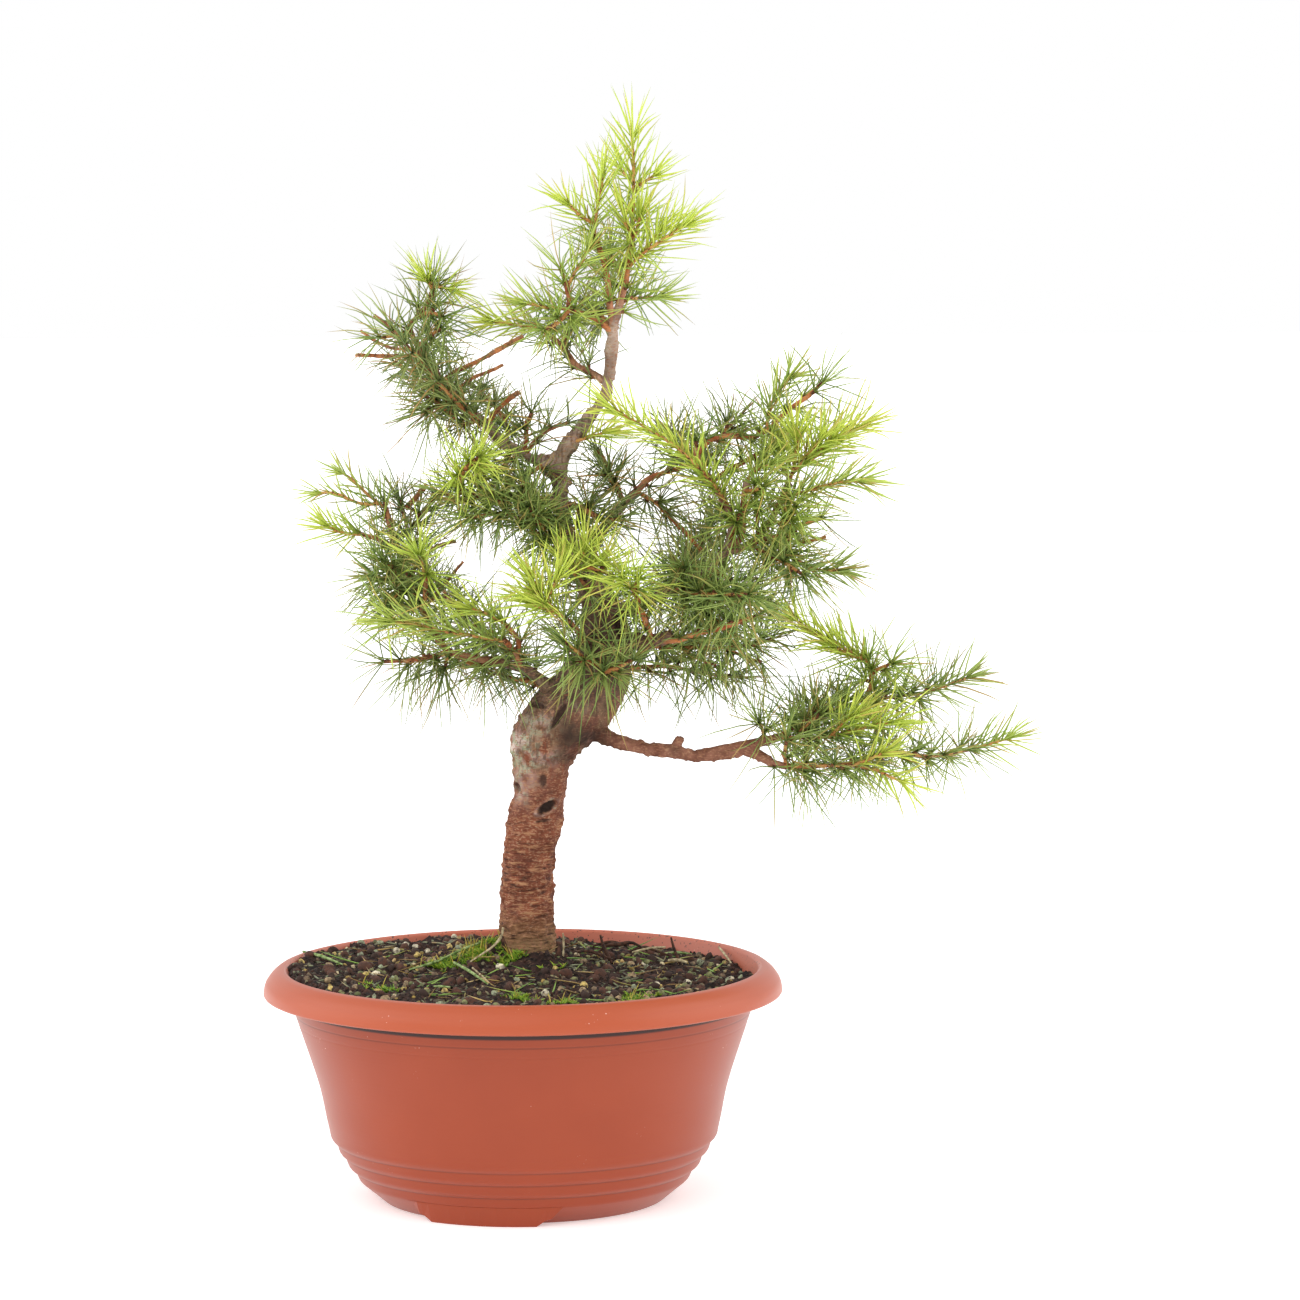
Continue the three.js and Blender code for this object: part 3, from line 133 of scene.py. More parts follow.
# Each spray has its tone, then its shoots: kind, length of the needles, and the knots (x, y, z) of the stem.
# The first ones follow the frame's spray, and the later ones fill it out.
SPRAYS = {
    "apex": (LIME, (LONG, 25, (66, 0, 576), (66.5, 0, 590), (66, 0, 603), (66, 0, 614)),
        (LONG, 22, (66.2, 0, 581), (73, -7, 585), (81, -13, 590)),
        (LONG, 22, (66.3, 0, 584), (62, 10, 588), (57, 20, 594))),
    "top_front": (LIME, (LONG, 23, (65, -1, 549), (68, -9, 558), (71, -14, 569)),
        (SPUR, 22, (66, -4, 552), (64, -11, 549)),
        (LONG, 22, (66, -5, 551), (62, -13, 560), (60, -18, 569))),
    "top_right": (LIME, (LONG, 24, (63, 0, 536), (71, -13, 544), (81, -22, 551), (90, -28, 557),
            (98, -32, 562)),
        (LONG, 24, (70, -12, 543), (78, -14, 553), (84, -18, 560))),
    "top_left": (LIME, (LONG, 23, (44, -7, 555), (45, -9, 566), (47, -9, 577), (50, -9, 592)),
        (LONG, 20, (44.5, -8.5, 561), (37, -15, 565), (31, -21, 571), (27, -24, 575))),
    "top_left_low": (FRESH, (LONG, 20, (28.5, -9, 526), (33, -14, 534), (38, -16, 542), (42, -16, 550))),
    "top_low_right": (FRESH, (LONG, 22, (62, 11, 518), (73, 19, 518), (83, 26, 518.5))),
    "top_back": (GREEN, (SPUR, 22, (57, 21, 534), (54, 28, 539), (50, 35, 543))),
    "crown_dark": (DEEP, (SPUR, 21, (53, 4, 502), (47, 14, 508), (41, 22, 513))),
    "crown_left_tuft": (FRESH, (LONG, 21, (30, -8, 513), (17, -14, 514), (8, -18, 516), (1, -21, 517)),
        (SPUR, 20, (30, -8, 513), (24, -15, 506), (16, -20, 502))),
    "crown_left_tip": (LIME, (LONG, 20, (12, 22, 501), (0, 25, 502.5), (-10, 28, 504), (-19, 30, 505))),
    "crown_left_dark": (DEEP, (SPUR, 20, (31, 27, 501), (33, 33, 505), (34, 39, 508))),
    "upper_top": (LIME, (SPUR, 17, (-49, 6, 521), (-49, 6, 524), (-50, 6, 527)),
        (LONG, 19, (-49, 6, 526), (-43, 2, 525), (-36, -2, 524)),
        (LONG, 20, (-49, 6, 524), (-51, 2, 528), (-53, -1, 532))),
    "upper_front": (DEEP, (SPUR, 22, (-20, 12, 446), (-27, 2, 452), (-37, -8, 462), (-47, -16, 474),
            (-55, -21, 485), (-63, -28, 494))),
    "upper_left": (GREEN, (SPUR, 23, (-62, 9, 500), (-70, 3, 498), (-78, -2, 497)),
        (SPUR, 24, (-58, 9, 491), (-51, 2, 497), (-44, -4, 502)),
        (SPUR, 23, (-57, 7, 509), (-50, 0, 511), (-43, -6, 509))),
    "upper_middle": (DEEP, (SPUR, 23, (-38, 11, 461), (-46, 3, 458), (-52, -4, 455))),
    "upper_back": (DEEP, (SPUR, 16, (-29, 14, 453), (-37, 24, 461), (-48, 33, 468), (-60, 40, 474),
            (-72, 46, 480))),
    "upper_rear": (DEEP, (SPUR, 15, (-9, 14, 435), (-7, 26, 442), (-11, 38, 450), (-19, 48, 459),
            (-29, 58, 467)),
        (SPUR, 22, (14, 11, 425), (10, 2, 421), (5, -6, 418)),
        (SPUR, 22, (0, 13, 430), (-5, 4, 426), (-11, -4, 422))),
    "middle_rosette": (LIME, (SPUR, 21, (-31, -8, 408.5), (-33, -14, 415), (-31, -20, 422),
            (-28, -25, 427)),
        (SPUR, 26, (-30, -21, 423), (-26, -25, 427), (-22, -28, 430))),
    "middle_left": (GREEN, (SPUR, 22, (-21, -5, 406), (-32, 1, 404), (-43, 5, 407)),
        (SPUR, 22, (-27, -2, 405), (-23, 10, 409), (-21, 21, 414))),
    "middle_tip": (GREEN, (SPUR, 20, (28, 8, 378), (19, 2, 379), (10, -3, 385), (2, -7, 392),
            (-6, -10, 398), (-13, -17, 406)),
        (SPUR, 20, (-5, -9, 397), (-17, -12, 396), (-27, -15, 395)),
        (SPUR, 22, (19, 1, 379), (12, -8, 390), (6, -14, 400)),
        (SPUR, 22, (27, 7, 380), (18, -2, 391), (9, -9, 401), (3, -13, 410))),
    "left_old": (FRESH, (LONG, 16, (-77, 8, 399), (-86, 8, 405.5), (-96, 8, 415), (-105, 8, 421.5)),
        (LONG, 16, (-80, 8, 401), (-92, 2, 402), (-105, -2, 408), (-118, -4, 408.5))),
    "left_side": (LIME, (LONG, 19, (-89, 0, 384), (-101, -4, 385.5), (-113, -8, 391))),
    "left_rosette": (LIME, (SPUR, 25, (-53, -24, 360), (-54, -29, 367), (-56, -34, 374))),
    "left_mass": (GREEN, (SPUR, 24, (-63, 6, 357), (-73, 1, 357), (-82, -4, 360)),
        (SPUR, 24, (-69, 3, 357), (-70, -8, 351), (-74, -17, 347)),
        (SPUR, 26, (-66, 4, 357), (-72, -10, 364), (-77, -19, 370))),
    "left_mass_rear": (DEEP, (SPUR, 23, (-57, 3, 343), (-62, 15, 347), (-68, 26, 352))),
    "left_dark": (DEEP, (SPUR, 20, (-65, 7, 362), (-63, 15, 373), (-65, 19, 386), (-69, 22, 402)),
        (SPUR, 20, (-64, 18, 384), (-57, 20, 393), (-50, 21, 402))),
    "left_long": (FRESH, (LONG, 23, (-8, -19, 324), (-24, -29, 328), (-40, -35, 331), (-58, -39, 336),
            (-75, -41, 338.5)),
        (LONG, 29, (-66, -40, 337), (-74, -41, 338.5), (-79, -42, 339))),
    "left_fresh": (LIME, (LONG, 21, (-7, -19, 333), (-17, -25, 340), (-31, -31, 345.5))),
    "left_hanging": (DEEP, (SPUR, 27, (-41, -5, 316), (-43, -9, 309)),
        (HANGING, 30, (-42, -5, 316), (-50, -9, 314.5), (-61, -13, 313)),
        (HANGING, 28, (-29, -4, 313), (-22, -3, 311), (-14, -2, 309))),
    "left_under": (DEEP, (SPUR, 17, (13, 13, 294), (3, 16, 297.5), (-8, 20, 299.5), (-21, 26, 303),
            (-35, 32, 309)),
        (SPUR, 22, (-20, 25, 303), (-30, 17, 308), (-38, 11, 313))),
    "left_rear": (DEEP, (SPUR, 24, (14, 14, 299), (1, 28, 306), (-13, 42, 314), (-27, 55, 324),
            (-39, 65, 336), (-51, 76, 350))),
    "centre_left": (LIME, (LONG, 24, (28, -29, 337), (21, -36, 343), (13, -42, 350)),
        (SPUR, 26, (21, -36, 343), (15, -40, 349), (11, -42, 354)),
        (LONG, 23, (15, -40, 349), (10, -42, 358), (6, -43, 366)),
        (LONG, 23, (15, -40, 349), (20, -44, 358), (24, -46, 366)),
        (LONG, 22, (24, -33, 340), (14, -33, 344), (3, -34, 349))),
    "centre_top": (LIME, (LONG, 22, (34, -15, 359), (29, -22, 366), (25, -27, 374)),
        (LONG, 22, (31, -19, 363), (38, -25, 367), (45, -30, 370)),
        (LONG, 25, (35, -23, 365), (36, -28, 373), (39, -31, 380)),
        (SPUR, 25, (38, -25, 367), (46, -31, 366), (53, -35, 363))),
    "centre_rosette": (LIME, (SPUR, 23, (67, -33, 350), (66, -38, 356), (68, -43, 361)),
        (SPUR, 26, (67, -36, 353), (63, -41, 357), (60, -45, 360))),
    "centre_low": (GREEN, (SPUR, 24, (50, 0, 309), (50, -9, 307), (48, -17, 306)),
        (SPUR, 25, (50, -7, 307.5), (41, -15, 311), (32, -22, 313)),
        (SPUR, 25, (40, -16, 311), (33, -24, 318), (26, -31, 325)),
        (SPUR, 24, (47, -16, 306), (56, -22, 309), (64, -27, 314))),
    "centre_rear": (DEEP, (SPUR, 25, (47, 15, 316), (49, 31, 325), (45, 48, 335), (38, 63, 347),
            (29, 77, 362))),
    "diagonal": (LIME, (LONG, 22, (119, 7, 400), (113, -6, 410), (104, -15, 421), (92, -22, 433),
            (78, -27, 443), (63, -31, 452), (51, -33, 459)),
        (LONG, 22, (33, 3, 437), (42, -3, 440), (52, -8, 443))),
    "right_knob": (FRESH, (LONG, 20, (131, -2, 415), (132.5, -3.5, 418), (138, -7, 421.5), (147, -12, 425)),
        (LONG, 24, (132, -2, 417), (138, 3, 425), (146, 6, 434)),
        (SPUR, 22, (129, -1, 408), (134, -8, 409), (139, -14, 411)),
        (SPUR, 25, (121, 9, 380), (124, 2, 388), (126, -4, 396))),
    "right_top": (LIME, (LONG, 26, (155, 2, 413), (158, -4, 428), (159, -8, 444)),
        (LONG, 25, (156, 0, 419), (170, 8, 427), (184, 12, 438), (197, 14, 445)),
        (LONG, 28, (157, 1, 418), (166, -6, 430), (174, -12, 440)),
        (LONG, 27, (168, 7, 426), (175, 0, 434), (181, -5, 439)),
        (LONG, 26, (155, 2, 414), (150, 7, 424), (147, 12, 434))),
    "right_out": (FRESH, (LONG, 23, (151, 4, 404), (161, -4, 407), (179, -13, 413), (197, -19, 415)),
        (SPUR, 24, (149, 5, 398), (153, -4, 398), (157, -12, 400)),
        (SPUR, 24, (144, 7, 390), (149, 0, 390), (155, -6, 391)),
        (SPUR, 24, (137, 9, 382), (136, 3, 389), (137, -3, 396))),
    "right_upright": (FRESH, (LONG, 20, (142, 11, 442), (144, 16, 455), (150, 19, 465), (158, 21, 475))),
    "right_dark": (DEEP, (SPUR, 22, (116, 6, 438), (119, 15, 443), (124, 24, 447))),
    "right_inner": (LIME, (LONG, 21, (140, 23, 429.5), (147, 27, 434), (153, 30, 440))),
    "right_web": (DEEP, (SPUR, 22, (91, 36, 418.5), (99, 39, 421), (106, 42, 425)),
        (SPUR, 22, (93, 37, 419), (92, 41, 429), (87, 43, 438))),
    "inner_dark": (DEEP, (SPUR, 21, (67, 27, 406), (76, 24, 401), (83, 22, 395)),
        (SPUR, 25, (28, 8, 399.5), (36, 4, 397), (44, 0, 394)),
        (SPUR, 24, (57, 21, 407), (53, 15, 412), (50, 8, 417)),
        (SPUR, 24, (46, 18, 382), (41, 12, 384), (37, 6, 388))),
    "right_mass": (GREEN, (SPUR, 24, (93, 5, 353), (99, -2, 345), (109, -8, 337), (120, -13, 329)),
        (SPUR, 25, (93, 4, 352), (92, -6, 358), (94, -16, 365))),
    "right_mass_rear": (DEEP, (SPUR, 24, (109, 10, 363), (119, 20, 356), (130, 28, 348), (141, 34, 339))),
    "right_spray": (GREEN, (LONG, 22, (142, 16, 379), (154, 13, 370), (170, 10, 362), (187, 7, 361.5)),
        (SPUR, 24, (133, 11, 376), (143, 4, 371), (153, -3, 366), (161, -7, 361)),
        (SPUR, 24, (140, 9, 383), (147, 14, 379), (153, 18, 374))),
    "right_front": (GREEN, (SPUR, 27, (88, 5, 352), (97, -8, 350.5), (107, -20, 350.5), (118, -31, 351.5),
            (130, -43, 352.5))),
    "right_back": (DEEP, (SPUR, 25, (80, 5, 348), (87, 21, 351), (95, 38, 356), (101, 54, 363),
            (106, 70, 373), (112, 83, 385))),
    "right_low": (GREEN, (SPUR, 22, (66, 1, 321), (79, 8, 318), (92, 12, 317), (105, 14, 316.5),
            (118, 15, 316.5), (131, 16, 317.5), (144, 17, 321)),
        (HANGING, 26, (92, 12, 317), (100, 10, 312), (110, 8, 308)),
        (HANGING, 24, (118, 15, 316), (127, 12, 312), (136, 10, 309))),
    "right_low_rear": (DEEP, (SPUR, 24, (58, 13, 305), (71, 20, 305), (84, 26, 304.5), (97, 30, 302),
            (110, 34, 299), (125, 38, 297))),
    "low_tip": (LIME, (SPUR, 22, (152, -14, 251), (164, -17, 250.8), (178, -20, 252), (190, -22, 252)),
        (LONG, 21, (189, -22, 252), (202, -24, 250), (212, -26, 245.5), (221, -27, 242)),
        (SPUR, 23, (152, -13, 251), (151, -20, 259), (152, -26, 267)),
        (LONG, 23, (190, -22, 252), (200, -28, 257), (210, -33, 262))),
    "low_middle": (LIME, (SPUR, 23, (148, -5, 266.5), (158, -6, 266.5), (168, -8, 266.5), (177, -9, 267)),
        (LONG, 24, (176, -9, 267), (190, -13, 271), (204, -17, 275), (215, -20, 277)),
        (SPUR, 26, (140, -5, 264.5), (139, -8, 270), (137, -12, 275)),
        (SPUR, 25, (158, -6, 266.5), (164, -8, 274), (171, -10, 280)),
        (LONG, 24, (176, -9, 267), (186, -2, 275), (197, 4, 281)),
        (LONG, 22, (178, -9, 267), (184, -16, 275), (192, -22, 282))),
    "low_rear": (GREEN, (SPUR, 22, (147, -3, 266.5), (157, 4, 271), (168, 11, 277), (182, 18, 280.5),
            (197, 23, 284), (213, 29, 285.5), (230, 34, 287), (240, 37, 289)),
        (LONG, 20, (239, 37, 289), (252, 40, 293), (263, 42, 297)),
        (SPUR, 25, (160, 6, 272), (170, 9, 279), (180, 12, 286)),
        (HANGING, 32, (150, -8, 258), (153, -11, 252), (160, -14, 250)),
        (HANGING, 26, (190, 20, 282), (200, 22, 276), (208, 24, 268))),
    "low_riser": (LIME, (SPUR, 22, (198, 23, 284), (201.5, 22, 292), (202, 20, 300), (200, 18, 308)),
        (LONG, 22, (200.5, 18.3, 307), (188, 12, 315), (172, 6, 324), (154, 1, 336)),
        (LONG, 24, (196, 16, 310), (186, 11, 314), (178, 8, 319)),
        (SPUR, 23, (201, 20, 300), (207, 15, 304), (213, 10, 307))),
    "low_far": (FRESH, (SPUR, 21, (179, -20, 252), (192, -14, 253.2), (207, -8, 255.5), (222, -3, 256),
            (236, 1, 254.5), (257, 6, 257.3)),
        (LONG, 20, (256, 6, 257.3), (268, 7, 260), (284, 9, 264.5))),
}
# Twigs too fine for the frame's solids.
FINE_TWIGS = {
    "crown_twig": ((-38, 12, 463, 1.2), (-28, 16, 472, 1.1), (-18, 18, 476, 1), (-9, 19, 480, 0.9)),
    "outer_twig": ((-60, 9, 490, 1), (-72, 14, 490, 0.9), (-82, 17, 494, 0.9), (-91, 19, 500, 0.8)),
    "inner_twig": ((-56, 2, 340, 1.2), (-48, 8, 350, 1.1), (-40, 12, 359, 1), (-33, 14, 367, 0.8)),
    "short_twig": ((-66, 20, 397, 1.4), (-60, 19, 404, 1.5), (-54, 18, 411, 1.5)),
    "inner_dark": ((82, 22, 396, 1.4), (88, 20, 390, 1.3), (96, 16, 382, 1.2), (104, 13, 373, 1.2)),
}

# Loose bits on the soil, one by one: (x, y, z, radius).
LITTER = {
    "pale": (
        ((-11.5, 7, 155, 0.7), (-12.8, 4, 150, 0.9), (-17.4, 1, 145, 0.7), (-24, -3, 141, 0.6),
         (-30, -9, 138, 0.4)),
        ((23, 5, 137, 0.6), (23.4, 5, 146, 0.7), (23.1, 5, 152, 0.5)),
        ((63, 34, 136, 0.6), (73, 36, 138, 0.7), (82.5, 37, 138.5, 0.5)),
        ((-28.5, -20, 136, 0.5), (-22, -40, 134, 0.6), (-16, -60, 132, 0.4)),
        ((114, 70, 133, 0.6), (118, 57, 130, 0.7), (121, 44, 127.5, 0.5)),
        ((84, 37, 130.5, 0.9), (90, 36, 131, 1.0), (95, 35, 129.5, 0.7)),
    ),
    "dark": (
        ((43, 38, 135, 0.7), (48, 38, 139.5, 1.0), (55, 37, 140, 1.4), (63, 38, 141, 1.0),
         (72, 37, 136, 0.5)),
        ((44.5, 30, 147, 0.6), (46, 29, 141, 1.0), (48.4, 27, 136, 1.2), (51, 25, 131, 0.9)),
        ((85.7, 45, 143, 0.5), (87.3, 44, 137, 0.8), (89.7, 42, 131, 1.0), (92, 41, 126, 0.9)),
        ((31, 22, 138, 0.7), (38, 24, 138.5, 1.1), (46, 21, 136, 0.8), (52, 17, 134.5, 0.5)),
        ((62, 50, 134, 0.6), (70, 47, 137, 1.0), (78, 48, 134, 0.8), (86, 45, 132, 0.5)),
        ((40, 52, 137, 0.6), (50, 50, 139.5, 1.2), (60, 53, 137, 0.7)),
        ((18.5, 4, 134, 1.0), (20.3, 3, 140, 1.5), (21.5, 4, 146, 0.9)),
        ((-9, 5, 140, 0.8), (-11, 4, 146, 1.4), (-13, 5, 152, 0.8)),
        ((8, 0, 135, 0.9), (14, -1, 138, 1.6), (21, 1, 136, 1.0)),
    ),
    "green": (
        ((-24.5, 18, 145, 0.6), (-37, 8, 141.5, 0.8), (-49, -2, 137, 0.4)),
        ((-130, 46, 135.5, 0.7), (-118, 28, 135.5, 1.0), (-105, 8, 134, 0.5)),
        ((-65, -16, 134.5, 0.4), (-52, 0, 136, 0.8), (-41, 12, 138.5, 0.6)),
        ((-39.6, -6, 137, 0.7), (-29, -32, 135.5, 0.9), (-17.4, -58, 132, 0.4)),
        ((-51.5, -65, 132.5, 0.5), (-45, -66, 133, 0.8), (-39.6, -66, 132.5, 0.5)),
        ((78.6, 64, 130, 0.5), (89, 66, 130.5, 0.8), (98.3, 66, 129.5, 0.4)),
    ),
}

# ---------------------------------------------------------------- nodes


def linear(colour):
    """sRGB hex to linear RGBA."""
    parts = [int(colour[i:i + 2], 16) / 255 for i in (1, 3, 5)]
    return [c / 12.92 if c <= 0.04045 else ((c + 0.055) / 1.055) ** 2.4 for c in parts] + [1.0]


def add(tree, kind, inputs=None, **settings):
    """Adds a node with its settings; an input, by name or place, takes a value, a node or a socket."""
    made = tree.nodes.new(kind)
    for name, value in settings.items():
        setattr(made, name, value)
    for name, value in (inputs or {}).items():
        if isinstance(value, bpy.types.Node):
            value = next(socket for socket in value.outputs if socket.enabled)
        if isinstance(value, bpy.types.NodeSocket):
            tree.links.new(value, made.inputs[name])
        else:
            made.inputs[name].default_value = value
    return made


SOCKETS = {bool: "NodeSocketBool", int: "NodeSocketInt", float: "NodeSocketFloat",
           Vector: "NodeSocketVector", bpy.types.Material: "NodeSocketMaterial"}


def new_tree(name, **sizes):
    """A Geometry Nodes tree with a named input for each size; gives it and its inputs."""
    tree = bpy.data.node_groups.new(name, "GeometryNodeTree")
    tree.interface.new_socket("Geometry", in_out="OUTPUT", socket_type="NodeSocketGeometry")
    tree.interface.new_socket("Geometry", in_out="INPUT", socket_type="NodeSocketGeometry")
    for label, kind in sizes.items():
        tree.interface.new_socket(label, in_out="INPUT", socket_type=SOCKETS[kind])
    return tree, add(tree, "NodeGroupInput").outputs


def finished(tree, *parts):
    """Ends a tree with its parts joined and realized."""
    whole = add(tree, "GeometryNodeJoinGeometry")
    for part in parts:
        tree.links.new(part.outputs[0], whole.inputs[0])
    add(tree, "NodeGroupOutput", {"Geometry": add(tree, "GeometryNodeRealizeInstances", {0: whole})})
    return tree


def placed(name, data):
    """A new object in the scene."""
    made = bpy.data.objects.new(name, data)
    bpy.context.scene.collection.objects.link(made)
    return made


def settled(start):
    """The plain mesh that an object's modifiers make; the object itself goes."""
    result = bpy.data.meshes.new_from_object(start.evaluated_get(bpy.context.evaluated_depsgraph_get()))
    bpy.data.objects.remove(start)
    return result


def marked(mesh, **notes):
    """A mesh with a value noted at each of its corners, under each name."""
    for name, values in notes.items():
        mesh.attributes.new(name, "FLOAT", "POINT").data.foreach_set("value", values)
    return mesh


def grown(tree, mesh, **sizes):
    """The plain mesh that a tree makes of a starting mesh."""
    start = placed("start", mesh)
    modifier = start.modifiers.new("grow", "NODES")
    modifier.node_group = tree
    for item in tree.interface.items_tree:
        if item.in_out == "INPUT" and item.name in sizes:
            modifier[item.identifier] = sizes[item.name]
    return settled(start)


def path_mesh(paths):
    """Open lines through knots of (x, y, z, radius), with each knot's radius noted as its girth."""
    mesh = bpy.data.meshes.new("paths")
    knots = [knot for path in paths for knot in path]
    lines = []
    for path in paths:
        first = lines[-1][1] + 1 if lines else 0
        lines += [(first + i, first + i + 1) for i in range(len(path) - 1)]
    mesh.from_pydata([[MM * value for value in knot[:3]] for knot in knots], lines, [])
    return marked(mesh, girth=[MM * knot[3] for knot in knots])


# ---------------------------------------------------------------- materials


def new_material(name, roughness, **settings):
    """A material with one Principled shader; gives its tree and that shader too."""
    made = bpy.data.materials.new(name)
    made.use_nodes = True
    tree = made.node_tree
    tree.nodes.clear()
    shader = add(tree, "ShaderNodeBsdfPrincipled", {"Roughness": roughness, **settings})
    add(tree, "ShaderNodeOutputMaterial", {"Surface": shader})
    return made, tree, shader


def within(tree, *ranges, most=1.0):
    """How far a spot lies inside every one of some ranges (value, where it starts, where it is full)."""
    for value, start, full in ranges:
        most = add(tree, "ShaderNodeMapRange",
                   {"Value": value, "From Min": start, "From Max": full, "To Max": most})
    return most


def coated(tree, ground, *coats):
    """Coats of colour over a ground, each (share that it covers, colour), in hex or made by nodes."""
    for cover, colour in coats:
        first, second = [linear(one) if isinstance(one, str) else one for one in (ground, colour)]
        mix = add(tree, "ShaderNodeMix", {"Factor": cover, 6: first, 7: second}, data_type="RGBA")
        ground = mix.outputs[2]
    return ground


def pattern(tree, size, stretch=(1, 1, 1), detail=3.0):
    """Noise with features about size millimetres across, longer where stretch is below 1."""
    place = add(tree, "ShaderNodeTexCoord").outputs["Object"]
    place = add(tree, "ShaderNodeMapping", {"Vector": place, "Scale": [s / (size * MM) for s in stretch]})
    return add(tree, "ShaderNodeTexNoise", {"Vector": place, "Scale": 1.0, "Detail": detail})


def raised(tree, shader, height, depth):
    """Gives a shader's surface a relief depth millimetres deep."""
    bump = add(tree, "ShaderNodeBump", {"Height": height, "Distance": depth * MM, "Strength": 1.0})
    tree.links.new(bump.outputs[0], shader.inputs["Normal"])


def needle_skin(name, young, ripe, tip):
    """Larch leaf with a thin wax: satin, paler on young growth, and some tips gone dry and tan."""
    made, tree, shader = new_material(name, 0.48, **{"IOR": 1.42, "Specular IOR Level": 0.4})
    shade, along, dry = [add(tree, "ShaderNodeAttribute", attribute_name=note).outputs["Fac"]
                         for note in ("shade", "along", "dry")]
    dry_end = within(tree, (dry, 0.6, 0.9), (along, 0.3, 1.0))
    dry_leaf = within(tree, (dry, 0.9, 0.98), most=0.75)
    withered = add(tree, "ShaderNodeMath", {0: dry_end, 1: dry_leaf}, operation="MAXIMUM")
    colour = coated(tree, young, (within(tree, (shade, 0.0, 1.0)), ripe), (withered, tip))
    tree.links.new(colour, shader.inputs["Base Color"])
    return made


def young_bark():
    """Larch twig of one to three years: smooth, satin, tan-orange at the tip and red-brown lower, with
    scars."""
    made, tree, shader = new_material("young_larch_bark", 0.55, **{"IOR": 1.45})
    thick = add(tree, "ShaderNodeAttribute", attribute_name="girth").outputs["Fac"]
    colour = coated(tree, "#CFA05A",
                    (within(tree, (thick, 0.95 * MM, 1.4 * MM)), "#A05C34"),
                    (within(tree, (pattern(tree, 6), 0.4, 0.62)), "#BC7C46"),
                    (within(tree, (pattern(tree, 2.2), 0.56, 0.62)), "#5E3322"))
    tree.links.new(colour, shader.inputs["Base Color"])
    raised(tree, shader, pattern(tree, 1.2), 0.25)
    return made


def bud_scales():
    """Spur bud, a barrel of dry overlapping scales: dull dark brown with paler rims."""
    made, tree, shader = new_material("bud_scales", 0.75, **{"IOR": 1.45})
    rims = within(tree, (pattern(tree, 1.2, (1, 1, 2)), 0.4, 0.65))
    tree.links.new(coated(tree, "#4A281B", (rims, "#97603A")), shader.inputs["Base Color"])
    raised(tree, shader, pattern(tree, 0.9, (1, 1, 2)), 0.3)
    return made


def old_bark():
    """Larch bark that begins to flake: matt red-brown with level cracks low down, pale and lichened at the
    bend, dark above it, and grey-brown on the limbs."""
    made, tree, shader = new_material("flaking_larch_bark", 0.82, **{"IOR": 1.45, "Specular IOR Level": 0.35})
    place = add(tree, "ShaderNodeSeparateXYZ", {0: add(tree, "ShaderNodeTexCoord").outputs["Object"]})
    across, height = place.outputs["X"], place.outputs["Z"]
    on_trunk, on_low_limb = (across, 0.052, 0.046), (across, 0.046, 0.052)
    at_soil, low_down, above_cracks = (height, 0.165, 0.135), (height, 0.258, 0.205), (height, 0.238, 0.252)
    above_bend, on_limbs, under_bend = (height, 0.268, 0.296), (height, 0.345, 0.37), (height, 0.285, 0.275)
    pale, twig, hollow = [add(tree, "ShaderNodeAttribute", attribute_name=note).outputs["Fac"]
                          for note in ("pale", "twig", "hollow")]
    pale, twig = (pale, 0.0, 1.0), (twig, 0.1, 0.9)
    mottle = within(tree, (pattern(tree, 8, detail=4.0), 0.36, 0.64))
    bleached = (pattern(tree, 9, detail=4.0), 0.36, 0.58)
    lichen = (pattern(tree, 4.5, detail=6.0), 0.52, 0.58)
    flakes = (pattern(tree, 1.1, (0.6, 0.6, 1.4), 6.0), 0.52, 0.62)
    algae = (pattern(tree, 11, detail=3.0), 0.45, 0.6)
    wrinkles = (pattern(tree, 2.4, (1.3, 1.3, 0.4), 7.0), 0.48, 0.42)
    rows = pattern(tree, 1.7, (0.2, 0.2, 1.15), 6.0)
    bands = add(tree, "ShaderNodeMapRange", {"Value": pattern(tree, 14, (0.3, 0.3, 1), 3.0), "From Min": 0.35,
                                             "From Max": 0.6, "To Min": 0.35, "To Max": 0.95})
    colour = coated(
        tree, "#643424", (mottle, "#894E36"),
        (within(tree, at_soil), "#8C7450"),
        (within(tree, pale, bleached), "#DAC8BC"),
        (within(tree, pale, lichen), "#A0AA8A"),
        (within(tree, above_bend), coated(tree, "#55433A", (mottle, "#7C6252"))),
        (within(tree, on_limbs), coated(tree, "#8A7062", (mottle, "#BCA494"))),
        (within(tree, twig), coated(tree, "#9E522C", (mottle, "#D08450"))),
        (within(tree, on_low_limb, under_bend), coated(tree, "#6E4434", (mottle, "#946450"))),
        (within(tree, flakes), coated(tree, "#8A5A42", (mottle, "#AE8466"))),
        (within(tree, algae, above_cracks, on_trunk, most=0.4), "#7C7052"),
        (within(tree, wrinkles, above_cracks, on_trunk, most=0.55), "#4E3B2E"),
        (within(tree, low_down, (rows, 0.46, 0.36), most=bands), "#3C2218"),
        (within(tree, low_down, (rows, 0.56, 0.7)), "#AC7E5A"),
        # painted shade in the wounds' pits and round the limbs' joins, over the wounds' own dark wood
        (hollow, "#33241D"))
    tree.links.new(colour, shader.inputs["Base Color"])
    scaly = pattern(tree, 1.6, (0.6, 0.6, 1.4), 7.0)
    scaly = add(tree, "ShaderNodeMath", {0: rows, 1: within(tree, low_down), 2: scaly},
                operation="MULTIPLY_ADD")
    raised(tree, shader, scaly, 0.9)
    return made


STEP_CORNERS = (17.2, 25.4, 33.4, 108.6)  # heights of the corners under the steps and the ledge
DUST_AND_PAINTED_SHADE_SPREAD = 0.8  # how far the dust and the painted shade reach above and below a corner
